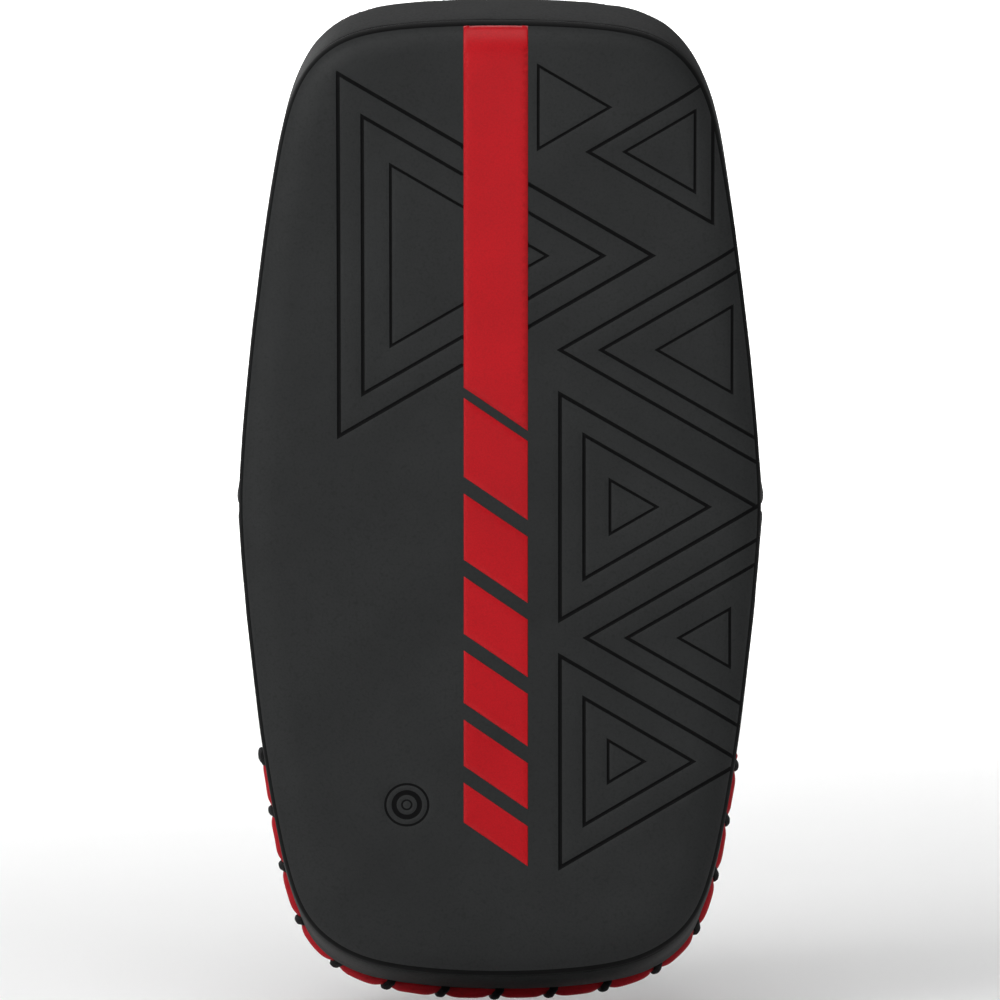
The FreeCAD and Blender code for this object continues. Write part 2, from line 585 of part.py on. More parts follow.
# ---- out ----------------------------------------------------------------------------------------
deg, at = local_frame(HAND_Z)
ORIGIN = at + V(0, GRIP_N * math.cos(math.radians(deg)), GRIP_N * math.sin(math.radians(deg)))
os.makedirs("parts", exist_ok=True)
total = 0.0
for name, shape in PARTS.items():
    moved = shape.copy()
    moved.translate(V(0, 0, 0) - ORIGIN)
    moved.exportStep("parts/" + name + ".step")
    total += moved.Volume
    b = moved.BoundBox
    note = "" if moved.isValid() and moved.Volume > 0 else "  <-- NOT VALID"
    print("%-28s %2d solids %9.1f mm3  x %7.1f %7.1f  y %7.1f %7.1f  z %7.1f %7.1f%s" % (
        name, len(moved.Solids), moved.Volume, b.XMin, b.XMax, b.YMin, b.YMax, b.ZMin, b.ZMax, note))


def local(x, y, z, height):
    """A point of a panel frame in the row's frame, mm."""
    v = place(Part.Vertex(V(x, y, z)), height).Point - ORIGIN
    return tuple(round(c, 3) for c in v)


print("nodes", len(PARTS), "volume", round(total / 1e6, 3), "litres; origin in the design frame",
      tuple(round(c, 3) for c in ORIGIN))
print("lace length", round(LACE_LENGTH, 1), "web length", round(WEB_END * ARCH_STEP, 1),
      "tail length", round(TAIL_LENGTH + UNDER_LENGTH + math.pi * FOLD_R, 1),
      "film flat", round(sum(t - b for t, b in FILM_BARS), 1), "x", round(FILM_X[1] - FILM_X[0], 1))
print("grip axis", local(0, GRIP_N, 0, HAND_Z), "tilt", round(deg, 3))
for name, height in STRAP_HEIGHTS.items():
    d, _ = local_frame(height)
    print(name, "pin", local(pin_x, pin_y, 0, height), "bar", local(bar_x, bar_y, 0, height), "tilt", round(d, 4),
          "axis", (0.0, round(-math.sin(math.radians(d)), 6), round(math.cos(math.radians(d)), 6)),
          "cushion top", local(0, 18.0, 0, height), "lining", local(0, 62.6 - HT - LINING_T, 0, height))
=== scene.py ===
import math

import bmesh
import bpy
import numpy as np
from mathutils import Matrix, Vector
from mathutils.geometry import delaunay_2d_cdt


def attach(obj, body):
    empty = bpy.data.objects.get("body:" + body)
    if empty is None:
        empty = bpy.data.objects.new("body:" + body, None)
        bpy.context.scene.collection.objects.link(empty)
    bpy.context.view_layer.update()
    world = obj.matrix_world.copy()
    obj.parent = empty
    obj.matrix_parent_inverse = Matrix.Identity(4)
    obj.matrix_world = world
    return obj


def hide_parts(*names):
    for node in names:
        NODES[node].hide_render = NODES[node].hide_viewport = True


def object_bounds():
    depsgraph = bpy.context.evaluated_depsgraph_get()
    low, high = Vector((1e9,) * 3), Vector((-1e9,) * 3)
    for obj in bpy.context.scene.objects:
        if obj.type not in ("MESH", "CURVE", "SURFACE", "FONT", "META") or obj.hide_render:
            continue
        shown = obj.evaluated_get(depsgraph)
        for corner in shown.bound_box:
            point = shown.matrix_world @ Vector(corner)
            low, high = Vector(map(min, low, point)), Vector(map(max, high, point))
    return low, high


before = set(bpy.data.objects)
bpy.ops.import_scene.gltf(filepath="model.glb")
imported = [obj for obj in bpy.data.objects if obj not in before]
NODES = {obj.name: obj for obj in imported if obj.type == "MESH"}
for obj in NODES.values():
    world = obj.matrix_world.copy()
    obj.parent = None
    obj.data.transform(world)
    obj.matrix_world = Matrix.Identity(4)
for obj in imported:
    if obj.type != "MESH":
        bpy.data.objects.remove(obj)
CAD_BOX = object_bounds()
SCENE = bpy.context.scene
MM = 0.001

# ------------------------------------------------------------------ the pad's own geometry (mm)
R_FACE = 975.0
D_SEAM = 10.0
D_BACK = 78.0
END_DEG = 10.93
LACED_BELOW = -98.0
PIPING_OUT = 2.9
LACE_PITCH = 21.7
HAND_Z = 118.0
GRIP_N = 52.0
GRIP_R = 15.0
GRIP_HALF = 57.0
EAR_IN = 58.6
EAR_THICK = 6.5
STRAP_W = 50.0
STRAP_T = 2.4
STRAPS = {"upper": 30.0, "lower": -64.0}
BAR_R = 2.0
RING_PIN = (68.0, 4.3)
RING_BAR = (64.5, 27.5)
HALF = [(0, 1.0), (19, .998), (36, .993), (47, .986), (56.1, .976), (62.8, .963), (68.1, .945),
        (73.0, .922), (78.0, .886), (81.4, .847), (84.1, .803), (87.3, .723), (89.6, .65),
        (92.05, .57), (94.3, .48), (96.45, .39), (98.5, .3), (100.3, .2), (101.6, .12), (102.8, .02),
        (102.75, -.05), (101.4, -.15), (99.45, -.26), (97.1, -.37), (94.6, -.48), (91.9, -.571),
        (89.2, -.653), (86.1, -.735), (84.1, -.776), (82.0, -.816), (79.1, -.857), (74.7, -.896),
        (68.7, -.9265), (62.0, -.950), (54.8, -.968), (45.5, -.981), (34.2, -.990), (18.0, -.9975),
        (0, -1.0)]
R_REF = R_FACE + 40.0
S_HALF = R_REF * math.radians(END_DEG)
_r = R_FACE + D_BACK
_a = math.asin(HAND_Z / _r)
ORG = np.array([0.0, -R_FACE + _r * math.cos(_a) + GRIP_N * math.cos(_a), HAND_Z + GRIP_N * math.sin(_a)])


def resample(points, n):
    pts = np.array(points + [points[0]], float)
    seg = np.linalg.norm(np.diff(pts, axis=0), axis=1)
    cum = np.concatenate([[0], np.cumsum(seg)])
    want = cum[-1] * np.arange(n) / n
    return np.stack([np.interp(want, cum, pts[:, 0]), np.interp(want, cum, pts[:, 1])], 1)


def smooth_outline(n=576, sigma=6.0):
    right = [(x, s * S_HALF) for x, s in HALF]
    left = [(-x, s) for x, s in reversed(right[1:-1])]
    pts = resample(right + left, n)
    step = np.linalg.norm(pts - np.roll(pts, 1, 0), axis=1).mean()
    reach = int(3 * sigma / step)
    k = np.arange(-reach, reach + 1)
    w = np.exp(-0.5 * (k * step / sigma) ** 2)
    w /= w.sum()
    return sum(w[j] * np.roll(pts, -k[j], 0) for j in range(len(k)))


OUT = smooth_outline()
N_OUT = len(OUT)
_t = np.roll(OUT, -2, 0) - np.roll(OUT, 2, 0)
_t /= np.linalg.norm(_t, axis=1)[:, None]
OUT_N = np.stack([-_t[:, 1], _t[:, 0]], 1)            # outward normal
OUT_STEP = np.linalg.norm(OUT - np.roll(OUT, 1, 0), axis=1).mean()


def outline_at(f, out=0.0):
    """Points at fractional outline indexes f, moved outwards by out."""
    f = np.atleast_1d(np.asarray(f, float))
    i = np.floor(f).astype(int)
    t = (f - i)[:, None]
    p = OUT[i % N_OUT] * (1 - t) + OUT[(i + 1) % N_OUT] * t
    n = OUT_N[i % N_OUT] * (1 - t) + OUT_N[(i + 1) % N_OUT] * t
    return p + n * np.broadcast_to(np.asarray(out, float).reshape(-1, 1), p.shape)


def bend(xs, depth):
    """(across, along) and depth behind the face, mm, to the row's frame in metres."""
    xs = np.asarray(xs, float)
    a = xs[..., 1] / R_REF
    r = R_FACE + np.asarray(depth, float)
    return np.stack([xs[..., 0] + 0 * r, -R_FACE + r * np.cos(a) - ORG[1], r * np.sin(a) - ORG[2]], -1) * MM


def panel(x, y, z, height):
    """From a back panel frame (across, out of the panel, along it), mm, to the row's frame in metres."""
    a = math.asin(height / (R_FACE + D_BACK))
    x, y, z = np.broadcast_arrays(np.asarray(x, float), np.asarray(y, float), np.asarray(z, float))
    py = -R_FACE + (R_FACE + D_BACK) * math.cos(a)
    return np.stack([x, py + y * math.cos(a) - z * math.sin(a) - ORG[1],
                     height + y * math.sin(a) + z * math.cos(a) - ORG[2]], -1) * MM


def on_back(x, z_along, y):
    """Points over the crowned back: across, arc length along it from the middle, height above it."""
    x, s, y = np.broadcast_arrays(np.asarray(x, float), np.asarray(z_along, float), np.asarray(y, float))
    r = R_FACE + D_BACK
    a = s / r
    return np.stack([x, -R_FACE + (r + y) * np.cos(a) - ORG[1], (r + y) * np.sin(a) - ORG[2]], -1) * MM


def wobble(p, scale, seed=0.0):
    """Smooth noise in about -1..1 at points p (n, 2 or 3), features about scale across."""
    p = np.asarray(p, float) / scale
    rng = np.random.default_rng(int(seed * 1000) + 7)
    v = np.zeros(p.shape[0])
    dim = p.shape[1]
    for k in range(9):
        d = rng.normal(size=dim)
        d /= np.linalg.norm(d)
        v += np.sin((p @ d) * (2.2 + 4.2 * rng.random()) + rng.random() * 6.28) * (0.55 + 0.45 * rng.random())
    return v / 3.2


# ------------------------------------------------------------------ mesh helpers
def new_mesh(name, verts, faces, smooth=True, mats=(), mat_index=None):
    me = bpy.data.meshes.new(name)
    me.from_pydata([tuple(v) for v in np.asarray(verts, float)], [], [tuple(int(i) for i in f) for f in faces])
    me.validate()
    ob = bpy.data.objects.new(name, me)
    SCENE.collection.objects.link(ob)
    for m in mats:
        me.materials.append(m)
    if mat_index is not None and len(mat_index) == len(me.polygons):
        me.polygons.foreach_set("material_index", np.asarray(mat_index, np.int32))
    me.polygons.foreach_set("use_smooth", [smooth] * len(me.polygons))
    me.update()
    return ob


def recalc(ob):
    bm = bmesh.new()
    bm.from_mesh(ob.data)
    bmesh.ops.recalc_face_normals(bm, faces=bm.faces)
    bm.to_mesh(ob.data)
    bm.free()
    ob.data.update()


def sharpen(ob, angle=40.0):
    """Marks edges sharper than angle, so that shading breaks there."""
    bm = bmesh.new()
    bm.from_mesh(ob.data)
    lim = math.radians(angle)
    for e in bm.edges:
        if len(e.link_faces) == 2 and e.calc_face_angle(0.0) > lim:
            e.smooth = False
    bm.to_mesh(ob.data)
    bm.free()


def join(name, obs):
    """One object of several meshes' data (they share the materials of the first that has any)."""
    verts, faces, idx, mats, base = [], [], [], [], 0
    for o in obs:
        me = o.data
        remap = []
        for m in me.materials:
            if m not in mats:
                mats.append(m)
            remap.append(mats.index(m))
        mw = np.array(o.matrix_world)
        co = np.empty(len(me.vertices) * 3)
        me.vertices.foreach_get("co", co)
        co = co.reshape(-1, 3) @ mw[:3, :3].T + mw[:3, 3]
        verts.append(co)
        for p in me.polygons:
            faces.append([v + base for v in p.vertices])
            idx.append(remap[p.material_index] if remap else 0)
        base += len(me.vertices)
    out = new_mesh(name, np.concatenate(verts), faces, True, mats, idx)
    for o in obs:
        bpy.data.objects.remove(o)
    return out


def grid_faces(rows, cols, closed_rows=False, closed_cols=False, base=0, flip=False):
    f = []
    for i in range(rows if closed_rows else rows - 1):
        for j in range(cols if closed_cols else cols - 1):
            a = base + i * cols + j
            b = base + i * cols + (j + 1) % cols
            c = base + ((i + 1) % rows) * cols + (j + 1) % cols
            d = base + ((i + 1) % rows) * cols + j
            f.append((a, d, c, b) if flip else (a, b, c, d))
    return f


def tube_mesh(name, path, frames_n, frames_b, ru, rv, sides=12, closed=False, caps=True, twist=0.0):
    """A tube of elliptical section along path (n, 3): ru along n, rv along b."""
    path = np.asarray(path, float)
    n = len(path)
    ru = np.broadcast_to(np.asarray(ru, float), (n,))
    rv = np.broadcast_to(np.asarray(rv, float), (n,))
    ang = np.arange(sides) * 2 * np.pi / sides
    verts = []
    for i in range(n):
        a = ang + twist * i
        verts.append(path[i] + np.cos(a)[:, None] * frames_n[i] * ru[i] + np.sin(a)[:, None] * frames_b[i] * rv[i])
    faces = grid_faces(n, sides, closed, True)
    verts = np.concatenate(verts)
    if caps and not closed:
        faces.append(tuple(range(sides))[::-1])
        faces.append(tuple((n - 1) * sides + k for k in range(sides)))
    return verts, faces


def path_frames(path, up):
    """Tangents, and normals nearest to the given up vectors, along a path."""
    path = np.asarray(path, float)
    t = np.gradient(path, axis=0)
    t /= np.linalg.norm(t, axis=1)[:, None] + 1e-12
    up = np.broadcast_to(np.asarray(up, float), path.shape)
    n = up - (up * t).sum(1)[:, None] * t
    n /= np.linalg.norm(n, axis=1)[:, None] + 1e-12
    b = np.cross(t, n)
    return t, n, b


def stitches(name, points, normals, mat, length=2.6, gap=1.0, r=0.38, sink=0.12):
    """A row of thread stitches (mm sizes) along a polyline of points (metres), each a small bowed capsule."""
    points = np.asarray(points, float)
    seg = np.linalg.norm(np.diff(points, axis=0), axis=1) / MM
    cum = np.concatenate([[0], np.cumsum(seg)])
    pitch = length + gap
    k = max(1, int(cum[-1] // pitch))
    start = (cum[-1] - k * pitch) / 2
    normals = np.asarray(normals, float)
    verts, faces = [], []
    sides, rings = 6, 5
    for j in range(k):
        s = start + j * pitch + gap / 2 + length * np.linspace(0, 1, rings)
        p = np.stack([np.interp(s, cum, points[:, c]) for c in range(3)], 1)
        n = np.stack([np.interp(s, cum, normals[:, c]) for c in range(3)], 1)
        n /= np.linalg.norm(n, axis=1)[:, None] + 1e-12
        t = p[-1] - p[0]
        t /= np.linalg.norm(t) + 1e-12
        b = np.cross(t, n[2])
        b /= np.linalg.norm(b) + 1e-12
        bow = np.sin(np.linspace(0, np.pi, rings))
        rad = r * (0.45 + 0.55 * bow)
        base = len(verts)
        for i in range(rings):
            c = p[i] + n[i] * (-sink + r * 0.9 * bow[i] - 0.3 * (1 - bow[i])) * MM
            for q in range(sides):
                a = q * 2 * np.pi / sides
                verts.append(c + (math.cos(a) * n[i] * 0.8 + math.sin(a) * b) * rad[i] * MM)
        faces += grid_faces(rings, sides, False, True, base)
        faces.append(tuple(base + q for q in range(sides))[::-1])
        faces.append(tuple(base + (rings - 1) * sides + q for q in range(sides)))
    ob = new_mesh(name, verts, faces, True, [mat])
    return ob


def inset_of(xs):
    """Distance of points inside the outline from it."""
    xs = np.asarray(xs, float)
    a, b = OUT, np.roll(OUT, -1, 0)
    best = np.full(len(xs), 1e9)
    ab = b - a
    l2 = (ab ** 2).sum(1)
    for k in range(0, len(xs), 4000):
        p = xs[k:k + 4000, None, :]
        t = np.clip(((p - a) * ab).sum(2) / l2, 0, 1)
        d = np.linalg.norm(p - (a + t[..., None] * ab), axis=2).min(1)
        best[k:k + 4000] = d
    return best


def inside_poly(xs, poly):
    xs = np.asarray(xs, float)
    poly = np.asarray(poly, float)
    a, b = poly, np.roll(poly, -1, 0)
    x, y = xs[:, 0][:, None], xs[:, 1][:, None]
    cross = ((a[:, 1] > y) != (b[:, 1] > y)) & (
        x < (b[:, 0] - a[:, 0]) * (y - a[:, 1]) / (b[:, 1] - a[:, 1] + 1e-15) + a[:, 0])
    return cross.sum(1) % 2 == 1


def triangulate(points, loops, boundary):
    """Constrained Delaunay triangles of points, with closed or open loops as edges, inside the boundary loop.
    loops: lists of (n, 2) arrays with a closed flag. boundary: (n, 2). Returns vertices (n, 2), faces."""
    verts = [tuple(p) for p in boundary]
    nb = len(boundary)
    edges = [(i, (i + 1) % nb) for i in range(nb)]
    for pts, closed in loops:
        base = len(verts)
        verts += [tuple(p) for p in pts]
        n = len(pts)
        edges += [(base + i, base + i + 1) for i in range(n - 1)]
        if closed:
            edges.append((base + n - 1, base))
    verts += [tuple(p) for p in points]
    vs, _, fs, orig, _, _ = delaunay_2d_cdt([Vector(v) for v in verts], edges, [list(range(nb))], 1, 1e-4)
    rim = [-1] * nb
    for i, src in enumerate(orig):
        for k in src:
            if k < nb:
                rim[k] = i
    return np.array([(v.x, v.y) for v in vs]), [tuple(f) for f in fs], rim


def hex_grid(x0, x1, y0, y1, step):
    pts = []
    k = 0
    y = y0
    while y <= y1:
        off = 0.5 * step if k % 2 else 0.0
        xs = np.arange(x0 + off, x1, step)
        pts.append(np.stack([xs, np.full(len(xs), y)], 1))
        y += step * 0.866
        k += 1
    return np.concatenate(pts)


def divide(poly, step, closed=True):
    """A polygon's sides divided to about step."""
    poly = np.asarray(poly, float)
    out = []
    n = len(poly)
    for i in range(n if closed else n - 1):
        a, b = poly[i], poly[(i + 1) % n]
        k = max(1, int(round(np.linalg.norm(b - a) / step)))
        out += [a + (b - a) * j / k for j in range(k)]
    if not closed:
        out.append(poly[-1])
    return np.array(out)


def offset_poly(poly, d):
    """A convex or simple polygon moved outwards by d, with mitred corners."""
    poly = np.asarray(poly, float)
    area = 0.5 * np.sum(poly[:, 0] * np.roll(poly[:, 1], -1) - np.roll(poly[:, 0], -1) * poly[:, 1])
    sgn = 1.0 if area > 0 else -1.0
    n = len(poly)
    out = []
    for i in range(n):
        p0, p1, p2 = poly[i - 1], poly[i], poly[(i + 1) % n]
        u, w = p1 - p0, p2 - p1
        u /= np.linalg.norm(u)
        w /= np.linalg.norm(w)
        n1 = np.array([u[1], -u[0]]) * sgn
        n2 = np.array([w[1], -w[0]]) * sgn
        m = n1 + n2
        m /= np.linalg.norm(m)
        out.append(p1 + m * d / max(0.35, m @ n1))
    return np.array(out)


# ------------------------------------------------------------------ materials
def material(name):
    m = bpy.data.materials.new(name)
    m.use_nodes = True
    nt = m.node_tree
    nt.nodes.clear()
    out = nt.nodes.new("ShaderNodeOutputMaterial")
    b = nt.nodes.new("ShaderNodeBsdfPrincipled")
    nt.links.new(b.outputs[0], out.inputs[0])
    return m, nt, b


def node(nt, kind, **sets):
    n = nt.nodes.new(kind)
    for k, v in sets.items():
        if k in n.inputs:
            n.inputs[k].default_value = v
        else:
            setattr(n, k, v)
    return n


def coords(nt, scale=(1, 1, 1), rot=(0, 0, 0)):
    tc = node(nt, "ShaderNodeTexCoord")
    mp = node(nt, "ShaderNodeMapping")
    mp.inputs["Scale"].default_value = scale
    mp.inputs["Rotation"].default_value = rot
    nt.links.new(tc.outputs["Object"], mp.inputs["Vector"])
    return mp.outputs["Vector"]


def noise(nt, vec, scale, detail=4.0, rough=0.55, distortion=0.0):
    n = node(nt, "ShaderNodeTexNoise", Scale=scale, Detail=detail, Roughness=rough, Distortion=distortion)
    nt.links.new(vec, n.inputs["Vector"])
    return n.outputs["Fac"]


def ramp(nt, fac, stops):
    r = node(nt, "ShaderNodeValToRGB")
    el = r.color_ramp.elements
    while len(el) < len(stops):
        el.new(0.5)
    for e, (pos, col) in zip(el, stops):
        e.position = pos
        e.color = col if len(col) == 4 else (*col, 1.0)
    nt.links.new(fac, r.inputs["Fac"])
    return r.outputs["Color"]


def maths(nt, op, a, b=None, clamp=False):
    m = node(nt, "ShaderNodeMath", operation=op, use_clamp=clamp)
    for k, v in enumerate((a, b)):
        if v is None:
            continue
        if isinstance(v, (int, float)):
            m.inputs[k].default_value = v
        else:
            nt.links.new(v, m.inputs[k])
    return m.outputs[0]


def mix(nt, fac, a, b, blend="MIX"):
    m = node(nt, "ShaderNodeMix", data_type="RGBA", blend_type=blend)
    if isinstance(fac, (int, float)):
        m.inputs[0].default_value = fac
    else:
        nt.links.new(fac, m.inputs[0])
    for k, v in ((6, a), (7, b)):
        if isinstance(v, tuple):
            m.inputs[k].default_value = v if len(v) == 4 else (*v, 1.0)
        else:
            nt.links.new(v, m.inputs[k])
    return m.outputs[2]


def bump(nt, height, strength, distance, normal=None):
    b = node(nt, "ShaderNodeBump", Strength=strength, Distance=distance)
    nt.links.new(height, b.inputs["Height"])
    if normal is not None:
        nt.links.new(normal, b.inputs["Normal"])
    return b.outputs["Normal"]


def leather(name, base, rough=0.5, grain=1150.0, depth=0.05, sheen=0.0, wear=0.25, vary=0.18, scuff=0.5, spec=0.25):
    """Coated synthetic leather: fine pebbled grain, mottled gloss, paler rubbed edges, a little dust."""
    m, nt, b = material(name)
    v = coords(nt)
    pebble = node(nt, "ShaderNodeTexVoronoi", feature="SMOOTH_F1", Scale=grain, Smoothness=0.45)
    warp = node(nt, "ShaderNodeTexNoise", Scale=grain * 0.35, Detail=2.0)
    nt.links.new(v, warp.inputs["Vector"])
    add = node(nt, "ShaderNodeVectorMath", operation="MULTIPLY_ADD")
    nt.links.new(warp.outputs["Color"], add.inputs[0])
    add.inputs[1].default_value = (0.0011, 0.0011, 0.0011)
    nt.links.new(v, add.inputs[2])
    nt.links.new(add.outputs[0], pebble.inputs["Vector"])
    fine = noise(nt, v, grain * 2.2, 2.0)
    soft = noise(nt, v, 26.0, 5.0, 0.6)
    blotch = noise(nt, v, 9.0, 3.0)
    dark = tuple(c * (1 - vary) for c in base)
    pale = tuple(min(1.0, c * (1 + vary) + 0.002) for c in base)
    col = ramp(nt, soft, [(0.32, dark), (0.68, pale)])
    cell = ramp(nt, pebble.outputs["Distance"], [(0.0, (1.06, 1.06, 1.06)), (0.55, (1, 1, 1)), (1.0, (0.80, 0.80, 0.80))])
    col = mix(nt, 1.0, col, cell, "MULTIPLY")
    geo = node(nt, "ShaderNodeNewGeometry")
    edge = ramp(nt, geo.outputs["Pointiness"], [(0.52, (0, 0, 0)), (0.60, (1, 1, 1))])
    rub = maths(nt, "MULTIPLY", edge, maths(nt, "MULTIPLY", blotch, wear))
    worn = tuple(min(1.0, c * 1.9 + 0.012) for c in base)
    col = mix(nt, rub, col, worn)
    nt.links.new(col, b.inputs["Base Color"])
    r = maths(nt, "MULTIPLY_ADD", soft, 0.16)
    r.node.inputs[2].default_value = rough - 0.10
    scr = noise(nt, coords(nt, (1, 1, 0.16)), 420.0, 3.0, 0.7)
    r2 = maths(nt, "MULTIPLY", ramp(nt, scr, [(0.60, (0, 0, 0)), (0.72, (1, 1, 1))]), 0.07 * scuff)
    r = maths(nt, "ADD", r, r2)
    r = maths(nt, "ADD", r, maths(nt, "MULTIPLY", pebble.outputs["Distance"], 0.10), True)
    nt.links.new(r, b.inputs["Roughness"])
    n1 = bump(nt, pebble.outputs["Distance"], 0.5, -depth * MM)
    n2 = bump(nt, fine, 0.25, depth * 0.5 * MM, n1)
    n3 = bump(nt, soft, 0.35, 0.25 * MM, n2)
    nt.links.new(n3, b.inputs["Normal"])
    b.inputs["Specular IOR Level"].default_value = spec
    if sheen:
        b.inputs["Sheen Weight"].default_value = sheen
        b.inputs["Sheen Roughness"].default_value = 0.4
    return m


def film(name, base):
    """Smooth printed vinyl with a faint speckle, as screen print shows."""
    m, nt, b = material(name)
    v = coords(nt)
    soft = noise(nt, v, 30.0, 4.0)
    speck = node(nt, "ShaderNodeTexVoronoi", feature="F1", Scale=1500.0)
    nt.links.new(v, speck.inputs["Vector"])
    col = ramp(nt, soft, [(0.3, tuple(c * 0.92 for c in base)), (0.7, tuple(min(1, c * 1.05) for c in base))])
    dots = ramp(nt, speck.outputs["Distance"], [(0.0, (1.12, 1.12, 1.12)), (0.5, (1, 1, 1)), (1.0, (0.88, 0.88, 0.88))])
    col = mix(nt, 1.0, col, dots, "MULTIPLY")
    nt.links.new(col, b.inputs["Base Color"])
    r = maths(nt, "MULTIPLY_ADD", soft, 0.14)
    r.node.inputs[2].default_value = 0.36
    nt.links.new(r, b.inputs["Roughness"])
    n = bump(nt, speck.outputs["Distance"], 0.25, -0.02 * MM)
    nt.links.new(bump(nt, soft, 0.3, 0.2 * MM, n), b.inputs["Normal"])
    b.inputs["Specular IOR Level"].default_value = 0.24
    return m


def webbing(name, base, across=(1, 0, 0), rib=1.5):
    """Woven nylon webbing: a herringbone of ribs from the UV map (u along in mm, v across in mm)."""
    m, nt, b = material(name)
    uv = node(nt, "ShaderNodeUVMap", uv_map="weave")
    sep = node(nt, "ShaderNodeSeparateXYZ")
    nt.links.new(uv.outputs[0], sep.inputs[0])
    u, w = sep.outputs[0], sep.outputs[1]
    tri = maths(nt, "PINGPONG", w, 4.0)
    ph = maths(nt, "ADD", u, maths(nt, "MULTIPLY", tri, 0.9))
    rib_v = maths(nt, "SINE", maths(nt, "MULTIPLY", ph, 2 * math.pi / rib))
    warp_v = maths(nt, "SINE", maths(nt, "MULTIPLY", w, 2 * math.pi / 1.0))
    h = maths(nt, "ADD", maths(nt, "MULTIPLY", rib_v, 0.5), maths(nt, "MULTIPLY", warp_v, 0.5))
    v = coords(nt)
    fuzz = noise(nt, v, 2400.0, 2.0)
    soft = noise(nt, v, 40.0, 3.0)
    hh = ramp(nt, maths(nt, "MULTIPLY_ADD", h, 0.5), [(0.2, (0.45, 0.45, 0.45)), (0.9, (1.35, 1.35, 1.35))])
    hh.node.inputs[0].links[0].from_node.inputs[2].default_value = 0.5
    col = ramp(nt, soft, [(0.3, tuple(c * 0.85 for c in base)), (0.7, tuple(min(1, c * 1.2 + 0.002) for c in base))])
    col = mix(nt, 1.0, col, hh, "MULTIPLY")
    nt.links.new(col, b.inputs["Base Color"])
    b.inputs["Roughness"].default_value = 0.72
    b.inputs["Sheen Weight"].default_value = 0.25
    b.inputs["Sheen Roughness"].default_value = 0.35
    n1 = bump(nt, h, 0.85, 0.22 * MM)
    nt.links.new(bump(nt, fuzz, 0.25, 0.05 * MM, n1), b.inputs["Normal"])
    return m


def fleece(name, base, hook=False):
    """Loop fleece or a hook strip."""
    m, nt, b = material(name)
    v = coords(nt)
    if hook:
        cell = node(nt, "ShaderNodeTexVoronoi", feature="F1", Scale=850.0, Randomness=0.25)
    else:
        cell = node(nt, "ShaderNodeTexVoronoi", feature="SMOOTH_F1", Scale=520.0)
    nt.links.new(v, cell.inputs["Vector"])
    fuzz = noise(nt, v, 900.0, 6.0, 0.75, 0.8)
    soft = noise(nt, v, 60.0, 4.0)
    h = maths(nt, "ADD", maths(nt, "MULTIPLY", cell.outputs["Distance"], -0.6), maths(nt, "MULTIPLY", fuzz, 0.7))
    col = ramp(nt, maths(nt, "ADD", h, maths(nt, "MULTIPLY", soft, 0.3)),
               [(0.1, tuple(c * 0.5 for c in base)), (0.8, tuple(min(1, c * 1.9 + 0.004) for c in base))])
    nt.links.new(col, b.inputs["Base Color"])
    b.inputs["Roughness"].default_value = 0.55 if hook else 0.9
    b.inputs["Sheen Weight"].default_value = 0.1 if hook else 0.5
    b.inputs["Sheen Roughness"].default_value = 0.3
    nt.links.new(bump(nt, h, 0.9, 0.35 * MM), b.inputs["Normal"])
    return m


def thread(name, base):
    m, nt, b = material(name)
    v = coords(nt)
    tw = node(nt, "ShaderNodeTexWave", wave_type="BANDS", bands_direction="DIAGONAL", Scale=1300.0, Distortion=1.0)
    nt.links.new(v, tw.inputs["Vector"])
    col = ramp(nt, tw.outputs["Fac"], [(0.1, tuple(c * 0.6 for c in base)), (0.9, tuple(min(1, c * 1.3 + 0.003) for c in base))])
    nt.links.new(col, b.inputs["Base Color"])
    b.inputs["Roughness"].default_value = 0.7
    b.inputs["Specular IOR Level"].default_value = 0.07
    nt.links.new(bump(nt, tw.outputs["Fac"], 0.6, 0.08 * MM), b.inputs["Normal"])
    return m


def metal(name, base, rough=0.18, brushed=0.0, dark=0.0):
    m, nt, b = material(name)
    v = coords(nt)
    smear = noise(nt, v, 90.0, 5.0, 0.6)
    pit = noise(nt, v, 900.0, 3.0)
    lines = noise(nt, coords(nt, (1, 1, 14)), 260.0, 3.0, 0.6)
    col = ramp(nt, smear, [(0.3, tuple(c * (0.9 - dark) for c in base)), (0.7, base)])
    nt.links.new(col, b.inputs["Base Color"])
    b.inputs["Metallic"].default_value = 1.0
    r = maths(nt, "MULTIPLY_ADD", smear, 0.16)
    r.node.inputs[2].default_value = rough - 0.05
    nt.links.new(r, b.inputs["Roughness"])
    n = bump(nt, pit, 0.15, 0.03 * MM)
    if brushed:
        n = bump(nt, lines, brushed, 0.04 * MM, n)
    nt.links.new(n, b.inputs["Normal"])
    return m


def foam(name, base, cell=700.0):
    m, nt, b = material(name)
    v = coords(nt)
    vo = node(nt, "ShaderNodeTexVoronoi", feature="F1", Scale=cell)
    nt.links.new(v, vo.inputs["Vector"])
    soft = noise(nt, v, 30.0, 3.0)
    col = ramp(nt, vo.outputs["Distance"], [(0.0, tuple(c * 0.7 for c in base)), (0.5, base)])
    col = mix(nt, maths(nt, "MULTIPLY", soft, 0.3), col, tuple(c * 0.8 for c in base))
    nt.links.new(col, b.inputs["Base Color"])
    b.inputs["Roughness"].default_value = 0.85
    nt.links.new(bump(nt, vo.outputs["Distance"], 0.6, 0.25 * MM), b.inputs["Normal"])
    return m


